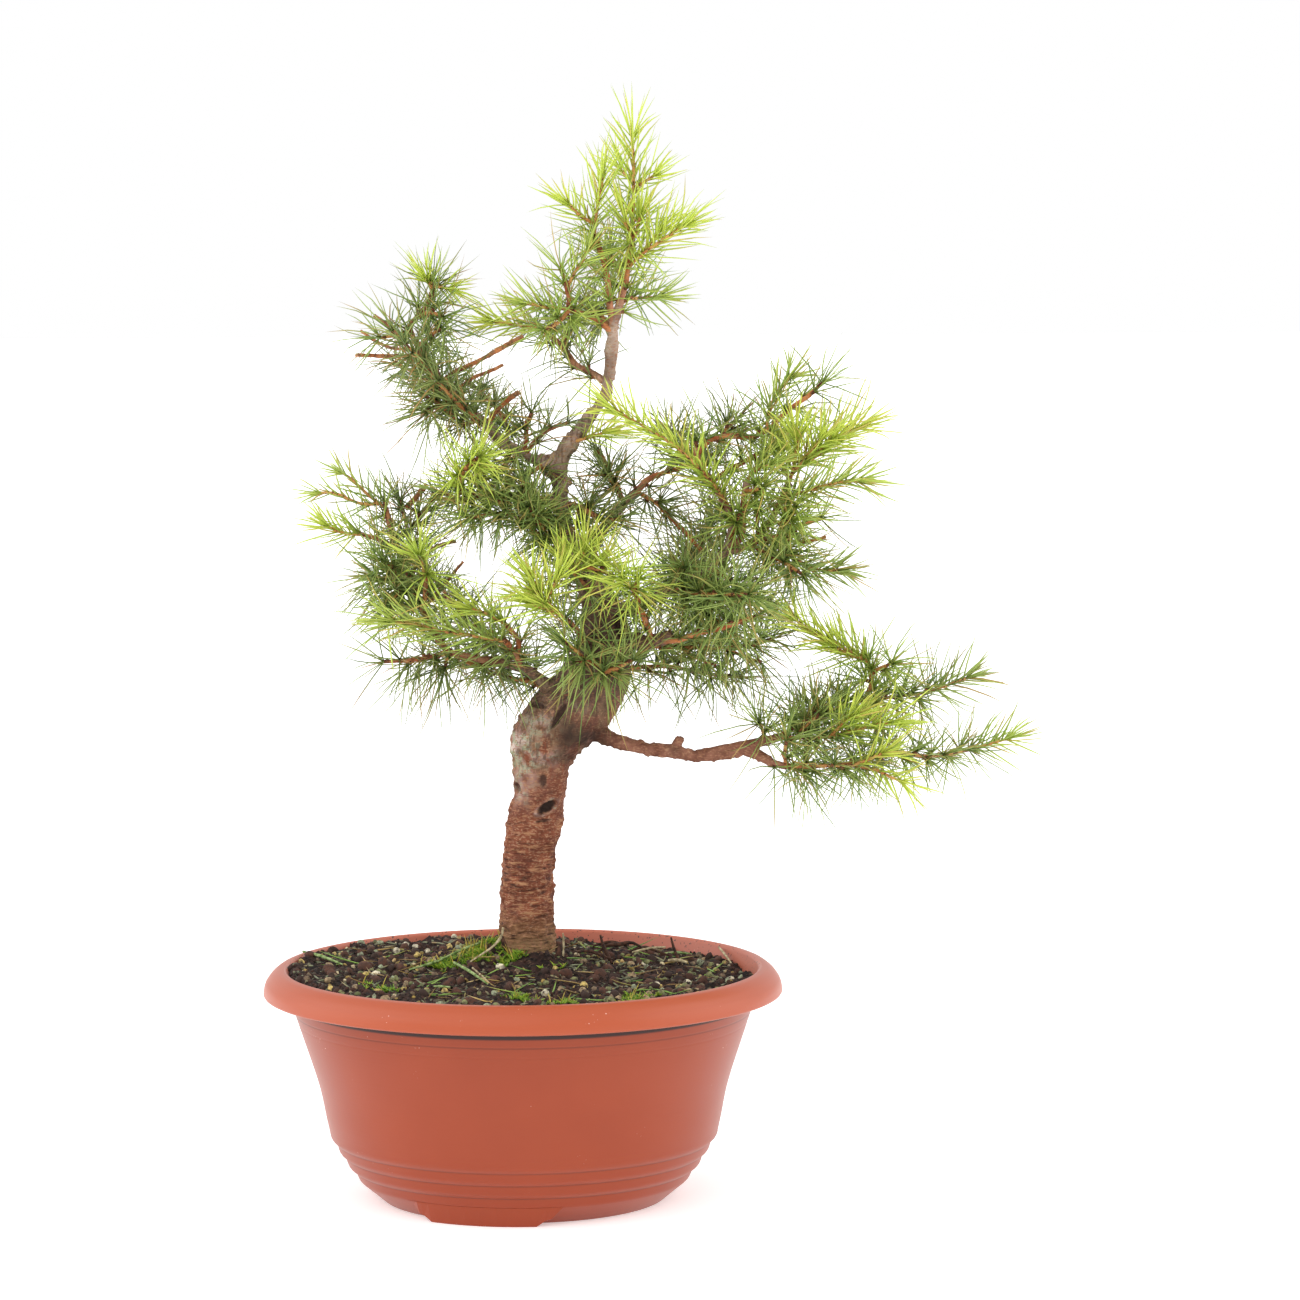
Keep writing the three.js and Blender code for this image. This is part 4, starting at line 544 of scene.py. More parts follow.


def pot_plastic():
    """Polypropylene, injection moulded: satin terracotta, faint turned rings, a few white scuffs, dust with
    painted shade in the corners under the steps, a painted sheen on the inner wall and a painted shadow under
    the rim's lip."""
    made, tree, shader = new_material("moulded_polypropylene", 0.4,
                                      **{"IOR": 1.49, "Specular IOR Level": 0.38, "Sheen Weight": 0.08,
                                         "Sheen Roughness": 0.4})
    place = add(tree, "ShaderNodeTexCoord").outputs["Object"]
    height = add(tree, "ShaderNodeSeparateXYZ", {0: place}).outputs["Z"]
    level = add(tree, "ShaderNodeVectorMath", {0: place, 1: (1, 1, 0)}, operation="MULTIPLY")
    radius = add(tree, "ShaderNodeVectorMath", {0: level}, operation="LENGTH").outputs["Value"]
    inside = add(tree, "ShaderNodeAttribute", attribute_name="inside").outputs["Fac"]
    # dust and a painted shade in the corner under each step
    dust_and_painted_shade = [(within(tree, *((height, (z + side * DUST_AND_PAINTED_SHADE_SPREAD) * MM, z * MM) for side in (-1, 1)), most=0.55),
              "#5C2412") for z in STEP_CORNERS]
    # a painted shadow on the wall in the recess under the rim's lip
    painted_rim_shadow = ((radius, 0.1462, 0.1452), (height, 0.1132, 0.1142), (height, 0.127, 0.124),
                 (inside, 1.0, 0.0))
    splashed = ((inside, 0.0, 1.0), (pattern(tree, 1.7, detail=1.0), 0.67, 0.7))
    scuffed = ((pattern(tree, 1.1, detail=0.0), 0.8, 0.84), (pattern(tree, 22, detail=1.0), 0.64, 0.7))
    colour = coated(
        tree, "#8D3617", (pattern(tree, 45), "#983E1D"),
        (within(tree, (height, 0.114, 0.119)), "#A84C2B"),
        # the inner wall painted lighter than the outside, a painted sheen
        (inside, "#B8644C"),
        (within(tree, *painted_rim_shadow), "#2E1009"),
        (within(tree, *splashed), "#4A3028"),
        (within(tree, *scuffed), "#E3BFB0"), *dust_and_painted_shade)
    tree.links.new(colour, shader.inputs["Base Color"])
    raised(tree, shader, pattern(tree, 1.6, (0.0, 0.0, 1.0), 2.0), 0.05)
    return made


def weathered(name, dark, light):
    """Dead plant bits that lay in the wet: matt, dull and streaked."""
    made, tree, shader = new_material(name, 0.8, **{"IOR": 1.45, "Specular IOR Level": 0.3})
    streaks = within(tree, (pattern(tree, 2.4), 0.38, 0.62))
    tree.links.new(coated(tree, dark, (streaks, light)), shader.inputs["Base Color"])
    raised(tree, shader, pattern(tree, 1.0), 0.3)
    return made


def peat():
    """Damp peat: matt, nearly black, with redder crumbs, and green where moss creeps over it."""
    made, tree, shader = new_material("damp_peat", 0.88, **{"IOR": 1.4, "Specular IOR Level": 0.35})
    mossy = add(tree, "ShaderNodeAttribute", attribute_name="mossy").outputs["Fac"]
    colour = coated(tree, "#1A1210",
                    (within(tree, (pattern(tree, 5), 0.42, 0.62)), "#3A2721"),
                    (within(tree, (pattern(tree, 2.2, (0.4, 1.6, 1), 4.0), 0.6, 0.68)), "#6A5140"),
                    (within(tree, (mossy, 0.15, 0.6)), "#5E7A1E"))
    tree.links.new(colour, shader.inputs["Base Color"])
    raised(tree, shader, pattern(tree, 1.6, detail=5.0), 0.8)
    return made


def mixed(name, roughness, colours):
    """Small loose things, as grit or dry leaf: each takes one of a row of colours, dirty in places."""
    made, tree, shader = new_material(name, roughness, **{"IOR": 1.45})
    shade = add(tree, "ShaderNodeAttribute", attribute_name="shade").outputs["Fac"]
    ramp = add(tree, "ShaderNodeValToRGB", {"Fac": shade})
    ramp.color_ramp.interpolation = "CONSTANT"
    for i, colour in enumerate(colours):
        stop = ramp.color_ramp.elements[0] if i == 0 else ramp.color_ramp.elements.new(i / len(colours))
        stop.color = linear(colour)
    ramp.color_ramp.elements.remove(ramp.color_ramp.elements[-1])
    dirt = within(tree, (pattern(tree, 2.0), 0.4, 0.7))
    tree.links.new(coated(tree, ramp.outputs[0], (dirt, "#3A2A22")), shader.inputs["Base Color"])
    return made


# ---------------------------------------------------------------- trees of nodes that grow the pieces

BARK_GRAIN = 2.4  # size of the bumps on a twig's bark
NEEDLE_LENGTHS = (0.72, 1.16)  # the shortest and the longest, against the mean
NEEDLE_HALF_WIDTH, NEEDLE_HALF_THICKNESS = 0.58, 0.4  # against the width that a tree is given
BARE_FOOT = 3.0  # length of a shoot's foot that carries no needles
BUD_RADIUS, BUD_LENGTH, BUD_TOP = 1.15, 3.4, 1.6  # needles spring from just inside the bud's end
KNOB_SIZE = 5.5


def skinned(tree, geometry_in, skin):
    """A surface that is smooth to the eye, with its material."""
    smooth = add(tree, "GeometryNodeSetShadeSmooth", {"Geometry": geometry_in})
    return add(tree, "GeometryNodeSetMaterial", {"Geometry": smooth, "Material": skin})


def pushed(tree, geometry_in, *heights):
    """A surface moved along its normals by the sum of some heights."""
    total = heights[0]
    for height in heights[1:]:
        total = add(tree, "ShaderNodeMath", {0: total, 1: height}, operation="ADD")
    push = add(tree, "ShaderNodeVectorMath", {0: add(tree, "GeometryNodeInputNormal"), "Scale": total},
               operation="SCALE")
    return add(tree, "GeometryNodeSetPosition", {"Geometry": geometry_in, "Offset": push})


def curve_of(tree, lines):
    """A smooth curve through the knots of a line mesh."""
    curve = add(tree, "GeometryNodeMeshToCurve", {"Mesh": lines})
    return add(tree, "GeometryNodeCurveSplineType", {"Curve": curve}, spline_type="CATMULL_ROM")


def barked(tree, curve, step, sides, relief, skin):
    """A tube along a curve, as thick as its knots' girth, with a rough surface."""
    fine = add(tree, "GeometryNodeResampleCurve", {"Curve": curve, "Length": step * MM}, mode="LENGTH")
    girth = add(tree, "GeometryNodeInputNamedAttribute", {"Name": "girth"}, data_type="FLOAT")
    outline = add(tree, "GeometryNodeCurvePrimitiveCircle", {"Resolution": sides, "Radius": 1.0})
    tube = add(tree, "GeometryNodeCurveToMesh",
               {"Curve": fine, "Profile Curve": outline, "Scale": girth, "Fill Caps": True})
    rough = add(tree, "ShaderNodeTexNoise", {"Scale": 1 / (BARK_GRAIN * MM), "Detail": 2.0})
    height = add(tree, "ShaderNodeMath", {0: rough, 1: 0.5}, operation="SUBTRACT")
    height = add(tree, "ShaderNodeMath", {0: height, 1: relief}, operation="MULTIPLY")
    return skinned(tree, pushed(tree, tube, height), skin)


def spun_normal(tree, turn):
    """A direction across a curve, turned round it by an angle."""
    return add(tree, "ShaderNodeVectorRotate", {"Vector": add(tree, "GeometryNodeInputNormal"),
                                                "Axis": add(tree, "GeometryNodeInputTangent"), "Angle": turn})


def golden(tree, count):
    """The golden turn times a count."""
    return add(tree, "ShaderNodeMath", {0: count, 1: GOLDEN_TURN}, operation="MULTIPLY")


def varied(tree, value, span, seed):
    """A value give or take a span."""
    draw = add(tree, "FunctionNodeRandomValue", {2: -span, 3: span, "Seed": seed})
    return add(tree, "ShaderNodeMath", {0: value, 1: draw}, operation="ADD")


def leaning(tree, axis, side, angle):
    """The unit direction at an angle from an axis, towards a side that is square to it."""
    across = add(tree, "ShaderNodeMath", {0: angle}, operation="SINE")
    ahead = add(tree, "ShaderNodeMath", {0: angle}, operation="COSINE")
    across = add(tree, "ShaderNodeVectorMath", {0: side, "Scale": across}, operation="SCALE")
    ahead = add(tree, "ShaderNodeVectorMath", {0: axis, "Scale": ahead}, operation="SCALE")
    return add(tree, "ShaderNodeVectorMath", {0: across, 1: ahead}, operation="ADD")


def risen(tree, aim, rise):
    """A direction drawn up, or down where rise is below 0."""
    up = add(tree, "ShaderNodeCombineXYZ", {"Z": rise})
    return add(tree, "ShaderNodeVectorMath", {0: aim, 1: up}, operation="ADD")


def needle_tree():
    """A needle on each point: flat, of even width, pointed, and bent its own way."""
    tree, given = new_tree("needles", Stands=bool, Direction=Vector, Length=float, Width=float, Curl=float,
                           Droop=float, Age=float, Seed=int, Skin=bpy.types.Material)
    blade = add(tree, "GeometryNodeMeshCone", {"Vertices": 3, "Side Segments": 3, "Radius Top": 0.0,
                                               "Radius Bottom": 1.0, "Depth": 1.0})
    place = add(tree, "GeometryNodeInputPosition")
    height = add(tree, "ShaderNodeSeparateXYZ", {0: place}).outputs["Z"]
    square = add(tree, "ShaderNodeMath", {0: height, 1: height}, operation="MULTIPLY")
    fuller = add(tree, "ShaderNodeMath", {0: height, 1: 1.0}, operation="ADD")
    fuller = add(tree, "ShaderNodeMath", {0: square, 1: fuller, 2: fuller}, operation="MULTIPLY_ADD")
    fuller = add(tree, "ShaderNodeCombineXYZ", {"X": fuller, "Y": fuller, "Z": 1.0})
    even = add(tree, "ShaderNodeVectorMath", {0: place, 1: fuller}, operation="MULTIPLY")
    blade = add(tree, "GeometryNodeStoreNamedAttribute",
                {"Geometry": blade, "Name": "along", "Value": height})
    blade = add(tree, "GeometryNodeSetPosition", {"Geometry": blade, "Position": even})

    index = add(tree, "GeometryNodeInputIndex")
    seeds = [add(tree, "FunctionNodeIntegerMath", {0: given["Seed"], 1: NEEDLE_SEEDS * i}, operation="ADD")
             for i in (1, 2, 3)]
    long, turn, dry = [add(tree, "FunctionNodeRandomValue", {"Seed": seed, "ID": index}) for seed in seeds]
    shortest, longest = NEEDLE_LENGTHS
    tall = add(tree, "ShaderNodeMapRange", {"Value": long, "To Min": shortest, "To Max": longest})
    tall = add(tree, "ShaderNodeMath", {0: tall, 1: given["Length"]}, operation="MULTIPLY")
    sway = add(tree, "FunctionNodeRandomValue", {0: (-1, -1, -1), 1: (1, 1, 1), "Seed": given["Seed"]},
               data_type="FLOAT_VECTOR")
    sway = add(tree, "ShaderNodeVectorMath", {0: sway, "Scale": given["Curl"]}, operation="SCALE")
    fall = add(tree, "ShaderNodeMath", {0: given["Droop"], 1: -1.0}, operation="MULTIPLY")
    bend = risen(tree, sway, fall)
    bend = add(tree, "ShaderNodeVectorMath", {0: bend, "Scale": tall}, operation="SCALE")
    shade = add(tree, "ShaderNodeMapRange", {"Value": turn, "To Min": -0.45, "To Max": 0.45})
    shade = add(tree, "ShaderNodeMath", {0: shade, 1: given["Age"]}, operation="ADD")

    points = given["Geometry"]
    for name, value, kind in (("bend", bend, "FLOAT_VECTOR"), ("shade", shade, "FLOAT"),
                              ("dry", dry, "FLOAT")):
        points = add(tree, "GeometryNodeStoreNamedAttribute",
                     {"Geometry": points, "Name": name, "Value": value}, data_type=kind)
    spin = add(tree, "ShaderNodeMath", {0: turn, 1: 2 * math.pi}, operation="MULTIPLY")
    spin = add(tree, "FunctionNodeAxisAngleToRotation", {"Axis": (0, 0, 1), "Angle": spin})
    aim = add(tree, "FunctionNodeAlignRotationToVector", {"Rotation": spin, "Vector": given["Direction"]},
              axis="Z")
    half, thin = [add(tree, "ShaderNodeMath", {0: given["Width"], 1: share}, operation="MULTIPLY")
                  for share in (NEEDLE_HALF_WIDTH, NEEDLE_HALF_THICKNESS)]
    size = add(tree, "ShaderNodeCombineXYZ", {"X": half, "Y": thin, "Z": tall})
    stood = add(tree, "GeometryNodeInstanceOnPoints",
                {"Points": points, "Selection": given["Stands"], "Instance": blade, "Rotation": aim,
                 "Scale": size})
    real = add(tree, "GeometryNodeRealizeInstances", {"Geometry": stood})
    bend = add(tree, "GeometryNodeInputNamedAttribute", {"Name": "bend"}, data_type="FLOAT_VECTOR")
    along = add(tree, "GeometryNodeInputNamedAttribute", {"Name": "along"}, data_type="FLOAT")
    square = add(tree, "ShaderNodeMath", {0: along, 1: along}, operation="MULTIPLY")
    swept = add(tree, "ShaderNodeVectorMath", {0: bend, "Scale": square}, operation="SCALE")
    bent = add(tree, "GeometryNodeSetPosition", {"Geometry": real, "Offset": swept})
    bent = add(tree, "GeometryNodeRemoveAttribute", {"Geometry": bent, "Name": "bend"})
    return finished(tree, skinned(tree, bent, given["Skin"]))


def leafed(tree, needles, points, direction, given, stands=True, age=0.5, length=1.0):
    """Needles on points, with the sizes that the tree is given, and a length against the one given."""
    length = add(tree, "ShaderNodeMath", {0: given["Length"], 1: length}, operation="MULTIPLY")
    return add(tree, "GeometryNodeGroup",
               {"Geometry": points, "Direction": direction, "Stands": stands, "Length": length, "Age": age,
                **{size: given[size] for size in ("Width", "Curl", "Droop", "Seed", "Skin")}},
               node_tree=needles)


def long_shoot_tree(needles):
    """A young shoot: single needles in a golden spiral, closer to the stem towards its tip, then a tuft."""
    tree, given = new_tree(LONG, Length=float, Width=float, Curl=float, Droop=float, Spacing=float, Low=float,
                           High=float, Rise=float, Tuft=int, Seed=int, Skin=bpy.types.Material,
                           Bark=bpy.types.Material)
    curve = curve_of(tree, given["Geometry"])
    stem = barked(tree, curve, step=3.0, sides=7, relief=0.3 * MM, skin=given["Bark"])
    row = add(tree, "GeometryNodeResampleCurve", {"Curve": curve, "Length": given["Spacing"]}, mode="LENGTH")
    way = add(tree, "GeometryNodeSplineParameter")
    tangent = add(tree, "GeometryNodeInputTangent")
    side = spun_normal(tree, golden(tree, add(tree, "GeometryNodeInputIndex")))
    spread = add(tree, "ShaderNodeMapRange", {"Value": way.outputs["Factor"], "To Min": given["Low"],
                                              "To Max": given["High"]})
    aim = leaning(tree, tangent, side, varied(tree, spread, 0.26, given["Seed"]))
    aim = risen(tree, aim, given["Rise"])
    past_foot = add(tree, "ShaderNodeMath", {0: way.outputs["Length"], 1: BARE_FOOT * MM},
                    operation="GREATER_THAN")
    age, length = [add(tree, "ShaderNodeMapRange", {"Value": way.outputs["Factor"], "To Min": at_foot,
                                                    "To Max": at_tip})
                   for at_foot, at_tip in ((0.75, 0.15), (1.05, 0.94))]
    spiral = leafed(tree, needles, row, aim, given, past_foot, age, length)
    for name, value in (("axis", tangent), ("side", add(tree, "GeometryNodeInputNormal"))):
        row = add(tree, "GeometryNodeStoreNamedAttribute", {"Geometry": row, "Name": name, "Value": value},
                  data_type="FLOAT_VECTOR")
    last = add(tree, "GeometryNodeCurveEndpointSelection", {"Start Size": 0, "End Size": 1})
    tip = add(tree, "GeometryNodeSeparateGeometry", {"Geometry": row, "Selection": last})
    tip = add(tree, "GeometryNodeCurveToPoints", {"Curve": tip}, mode="EVALUATED")
    copies = add(tree, "GeometryNodeDuplicateElements", {"Geometry": tip, "Amount": given["Tuft"]},
                 domain="POINT")
    axis, side = [add(tree, "GeometryNodeInputNamedAttribute", {"Name": name}, data_type="FLOAT_VECTOR")
                  for name in ("axis", "side")]
    side = add(tree, "ShaderNodeVectorRotate",
               {"Vector": side, "Axis": axis, "Angle": golden(tree, copies.outputs["Duplicate Index"])})
    spread = add(tree, "FunctionNodeRandomValue", {2: 0.06, 3: 0.75, "Seed": given["Seed"]})
    tuft = leafed(tree, needles, copies, leaning(tree, axis, side, spread), given, age=0.1, length=0.86)
    return finished(tree, stem, spiral, tuft)


def rosettes(tree, needles, curve, given):
    """Spur buds round a curve in a golden spiral, each a scaly barrel with a rosette of needles."""
    row = add(tree, "GeometryNodeResampleCurve", {"Curve": curve, "Length": given["Spacing"]}, mode="LENGTH")
    tangent = add(tree, "GeometryNodeInputTangent")
    side = spun_normal(tree, golden(tree, add(tree, "GeometryNodeInputIndex")))
    axis = leaning(tree, tangent, side, varied(tree, 1.0, 0.5, given["Seed"]))
    last = add(tree, "GeometryNodeCurveEndpointSelection", {"Start Size": 0, "End Size": 1})
    axis = add(tree, "GeometryNodeSwitch", {"Switch": last, "False": axis, "True": tangent},
               input_type="VECTOR")
    row = add(tree, "GeometryNodeStoreNamedAttribute", {"Geometry": row, "Name": "axis", "Value": axis},
              data_type="FLOAT_VECTOR")
    beyond = add(tree, "ShaderNodeMath", {0: add(tree, "GeometryNodeSplineParameter").outputs["Length"],
                                          1: given["Bare"]}, operation="GREATER_THAN")
    row = add(tree, "GeometryNodeSeparateGeometry", {"Geometry": row, "Selection": beyond})
    buds = add(tree, "GeometryNodeCurveToPoints", {"Curve": row}, mode="EVALUATED")
    axis = add(tree, "GeometryNodeInputNamedAttribute", {"Name": "axis"}, data_type="FLOAT_VECTOR")
    girth = add(tree, "GeometryNodeInputNamedAttribute", {"Name": "girth"}, data_type="FLOAT")
    lift, up_bud = [add(tree, "ShaderNodeVectorMath", {0: axis, "Scale": height}, operation="SCALE")
                    for height in (girth, BUD_TOP * MM)]
    buds = add(tree, "GeometryNodeSetPosition", {"Geometry": buds, "Offset": lift})
    upright = add(tree, "FunctionNodeAlignRotationToVector", {"Vector": axis}, axis="Z")
    barrel = add(tree, "GeometryNodeMeshCylinder", {"Vertices": 7, "Side Segments": 2,
                                                    "Radius": BUD_RADIUS * MM, "Depth": BUD_LENGTH * MM})
    knobs = add(tree, "GeometryNodeInstanceOnPoints",
                {"Points": buds, "Instance": barrel, "Rotation": upright})
    knobs = skinned(tree, add(tree, "GeometryNodeRealizeInstances", {"Geometry": knobs}), given["Scales"])
    tops = add(tree, "GeometryNodeSetPosition", {"Geometry": buds, "Offset": up_bud})
    copies = add(tree, "GeometryNodeDuplicateElements", {"Geometry": tops, "Amount": given["Rosette"]},
                 domain="POINT")
    count = copies.outputs["Duplicate Index"]
    share = add(tree, "ShaderNodeMath", {0: count, 1: given["Rosette"]}, operation="DIVIDE")
    share = add(tree, "ShaderNodeMath", {0: share, 1: 0.6}, operation="POWER")
    spread = add(tree, "ShaderNodeMapRange", {"Value": share, "To Min": 0.1, "To Max": 1.4})
    spread = varied(tree, spread, 0.28, given["Seed"])
    turn = varied(tree, golden(tree, count), 0.9, given["Seed"])
    across = add(tree, "ShaderNodeVectorRotate", {"Vector": (1, 0, 0), "Axis": (0, 0, 1), "Angle": turn})
    local = leaning(tree, (0, 0, 1), across, spread)
    aim = add(tree, "FunctionNodeRotateVector", {"Vector": local, "Rotation": upright})
    return knobs, leafed(tree, needles, copies, risen(tree, aim, given["Rise"]), given)


def spur_shoot_tree(needles, with_stem):
    """Spur buds along a path: on a twig of their own, or on a limb that stands already."""
    tree, given = new_tree(SPUR, Length=float, Width=float, Curl=float, Droop=float, Spacing=float,
                           Bare=float, Rise=float, Rosette=int, Seed=int, Skin=bpy.types.Material,
                           Bark=bpy.types.Material, Scales=bpy.types.Material)
    curve = curve_of(tree, given["Geometry"])
    parts = list(rosettes(tree, needles, curve, given))
    if with_stem:
        parts.append(barked(tree, curve, step=2.5, sides=8, relief=0.5 * MM, skin=given["Bark"]))
    return finished(tree, *parts)


def limb_tree(step=1.5, sides=14):
    """Bare wood along paths."""
    tree, given = new_tree("limb", Relief=float, Bark=bpy.types.Material)
    return finished(tree, barked(tree, curve_of(tree, given["Geometry"]), step, sides, given["Relief"],
                                 given["Bark"]))


def uneven(tree, size, stretch, detail):
    """Noise with features size millimetres across, longer where stretch is below 1."""
    place = add(tree, "ShaderNodeVectorMath", {0: add(tree, "GeometryNodeInputPosition"),
                                               1: [s / (size * MM) for s in stretch]}, operation="MULTIPLY")
    return add(tree, "ShaderNodeTexNoise", {"Vector": place, "Scale": 1.0, "Detail": detail})


def swell(tree, size, stretch, detail, height):
    """A surface's height that rises and sinks by height millimetres over features of a size."""
    return add(tree, "ShaderNodeMapRange", {"Value": uneven(tree, size, stretch, detail), "From Min": 0.25,
                                            "From Max": 0.75, "To Min": -height * MM, "To Max": height * MM})


def bark_tree():
    """Old bark over solid wood: slow swellings, level ridges on the lower trunk, small flakes and knobs.
    Knob is in metres, and the others in millimetres."""
    tree, given = new_tree("bark", Lump=float, Ridge=float, Flake=float, Knob=float, Skin=bpy.types.Material)
    height = add(tree, "ShaderNodeSeparateXYZ", {0: add(tree, "GeometryNodeInputPosition")}).outputs["Z"]
    level = within(tree, (height, 0.235, 0.18))
    heights = []
    for label, size, stretch, detail, share in (("Lump", 19, (1, 1, 1), 1.0, 1.0),
                                                ("Ridge", 2.4, (0.2, 0.2, 1.25), 3.0, level),
                                                ("Flake", 4.5, (1, 1, 1.2), 3.0, 1.0)):
        wave = swell(tree, size, stretch, detail, 1.0)
        for factor in (given[label], share):
            wave = add(tree, "ShaderNodeMath", {0: wave, 1: factor}, operation="MULTIPLY")
        heights.append(wave)
    bumps = uneven(tree, KNOB_SIZE, (1, 1, 1), 1.0)
    heights.append(within(tree, (bumps, 0.55, 0.66), most=given["Knob"]))
    return finished(tree, skinned(tree, pushed(tree, given["Geometry"], *heights), given["Skin"]))


def turned_tree():
    """A profile line turned about the vertical axis; its knots' girth is 1 inside and 0 outside."""
    tree, given = new_tree("turned", Segments=int, Skin=bpy.types.Material)
    knots = add(tree, "GeometryNodeAttributeDomainSize", {"Geometry": given["Geometry"]})
    columns = add(tree, "FunctionNodeIntegerMath", {0: given["Segments"], 1: 1}, operation="ADD")
    sheet = add(tree, "GeometryNodeMeshGrid", {"Vertices X": knots.outputs["Point Count"],
                                               "Vertices Y": columns})
    index = add(tree, "GeometryNodeInputIndex")
    row = add(tree, "FunctionNodeIntegerMath", {0: index, 1: columns}, operation="DIVIDE_FLOOR")
    column = add(tree, "FunctionNodeIntegerMath", {0: index, 1: columns}, operation="MODULO")
    place = add(tree, "GeometryNodeInputPosition")
    outline = add(tree, "GeometryNodeSampleIndex",
                  {"Geometry": given["Geometry"], "Index": row, "Value": place}, data_type="FLOAT_VECTOR")
    turn = add(tree, "ShaderNodeMath", {0: column, 1: given["Segments"]}, operation="DIVIDE")
    turn = add(tree, "ShaderNodeMath", {0: turn, 1: 2 * math.pi}, operation="MULTIPLY")
    place = add(tree, "ShaderNodeVectorRotate", {"Vector": outline, "Axis": (0, 0, 1), "Angle": turn})
    girth = add(tree, "GeometryNodeInputNamedAttribute", {"Name": "girth"}, data_type="FLOAT")
    inside = add(tree, "GeometryNodeSampleIndex",
                 {"Geometry": given["Geometry"], "Index": row, "Value": girth})
    inside = add(tree, "ShaderNodeMath", {0: inside, 1: MM}, operation="DIVIDE")
    turned = add(tree, "GeometryNodeSetPosition", {"Geometry": sheet, "Position": place})
    turned = add(tree, "GeometryNodeStoreNamedAttribute",
                 {"Geometry": turned, "Name": "inside", "Value": inside})
    sealed = add(tree, "GeometryNodeMergeByDistance", {"Geometry": turned, "Distance": 0.001 * MM})
    return finished(tree, skinned(tree, sealed, given["Skin"]))


def clod_tree():
    """Crumbly ground: the open surface rises into rounded clods of two sizes."""
    tree, given = new_tree("clods", Large=float, Small=float, Skin=bpy.types.Material)
    open_ground = add(tree, "GeometryNodeInputNamedAttribute", {"Name": "open"}, data_type="FLOAT")
    place = add(tree, "GeometryNodeInputPosition")
    total = 0.0
    for label, size in (("Large", 8.5), ("Small", 3.6)):
        cell = add(tree, "ShaderNodeTexVoronoi", {"Vector": place, "Scale": 1 / (size * MM)})
        dome = add(tree, "ShaderNodeMapRange", {"Value": cell.outputs["Distance"], "From Min": 0.1,
                                                "From Max": 0.75, "To Min": 1.0, "To Max": 0.0})
        dome = add(tree, "ShaderNodeMath", {0: dome, 1: given[label]}, operation="MULTIPLY")
        total = add(tree, "ShaderNodeMath", {0: total, 1: dome}, operation="ADD")
    total = add(tree, "ShaderNodeMath", {0: total, 1: open_ground}, operation="MULTIPLY")
    return finished(tree, skinned(tree, pushed(tree, given["Geometry"], total), given["Skin"]))


def strewn(tree, given, cover):
    """Points over a surface, as thickly as it has noted under a name, each with a shade of its own."""
    thick = add(tree, "GeometryNodeInputNamedAttribute", {"Name": cover}, data_type="FLOAT")
    thick = add(tree, "ShaderNodeMath", {0: thick, 1: given["Density"]}, operation="MULTIPLY")
    points = add(tree, "GeometryNodeDistributePointsOnFaces",
                 {"Mesh": given["Geometry"], "Density": thick, "Seed": given["Seed"]})
    shade = add(tree, "FunctionNodeRandomValue", {"Seed": given["Seed"]})
    return add(tree, "GeometryNodeStoreNamedAttribute", {"Geometry": points, "Name": "shade", "Value": shade})


def stone_tree(cover):
    """Rounded uneven grains strewn over a surface."""
    tree, given = new_tree("grains", Density=float, Least=float, Most=float, Rounds=int, Seed=int,
                           Skin=bpy.types.Material)
    points = strewn(tree, given, cover)
    turn = add(tree, "FunctionNodeRandomValue", {0: (-3, -3, -3), 1: (3, 3, 3), "Seed": given["Seed"]},
               data_type="FLOAT_VECTOR")
    turn = add(tree, "FunctionNodeEulerToRotation", {"Euler": turn})
    whole = add(tree, "FunctionNodeRandomValue", {2: given["Least"], 3: given["Most"], "Seed": given["Seed"]})
    shape = add(tree, "FunctionNodeRandomValue",
                {0: (0.7, 0.7, 0.5), 1: (1.25, 1.2, 0.9), "Seed": given["Seed"]}, data_type="FLOAT_VECTOR")
    size = add(tree, "ShaderNodeVectorMath", {0: shape, "Scale": whole}, operation="SCALE")
    grain = add(tree, "GeometryNodeMeshIcoSphere", {"Radius": 0.5, "Subdivisions": given["Rounds"]})
    laid = add(tree, "GeometryNodeInstanceOnPoints",
               {"Points": points, "Instance": grain, "Rotation": turn, "Scale": size})
    real = add(tree, "GeometryNodeRealizeInstances", {"Geometry": laid})
    knocked = pushed(tree, real, swell(tree, 1.7, (1, 1, 1), 1.0, 0.55))
    return finished(tree, skinned(tree, knocked, given["Skin"]))


def blade_tree(needles, cover):
    """Needles strewn over a surface: standing in tufts as moss does, or lying as they fell."""
    tree, given = new_tree("blades", Density=float, Length=float, Width=float, Curl=float, Droop=float,
                           Rise=float, Amount=int, Seed=int, Skin=bpy.types.Material)
    points = strewn(tree, given, cover)
    copies = add(tree, "GeometryNodeDuplicateElements", {"Geometry": points, "Amount": given["Amount"]},
                 domain="POINT")
    heading = add(tree, "FunctionNodeRandomValue", {0: (-1, -1, 0), 1: (1, 1, 0), "Seed": given["Seed"]},
                  data_type="FLOAT_VECTOR")
    heading = add(tree, "ShaderNodeVectorMath", {0: heading}, operation="NORMALIZE")
    aim = risen(tree, heading, varied(tree, given["Rise"], 0.12, given["Seed"]))
    age = add(tree, "FunctionNodeRandomValue", {"Seed": given["Seed"]})
    return finished(tree, leafed(tree, needles, copies, aim, given, age=age))


# ---------------------------------------------------------------- pieces


def piece(name, mesh, slot, *nodes):
    """A finished piece of the part, standing for the frame's nodes that it names."""
    made = placed(name, mesh)
    mesh.name = name
    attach(made, "root")
    if nodes:
        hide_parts(*nodes)


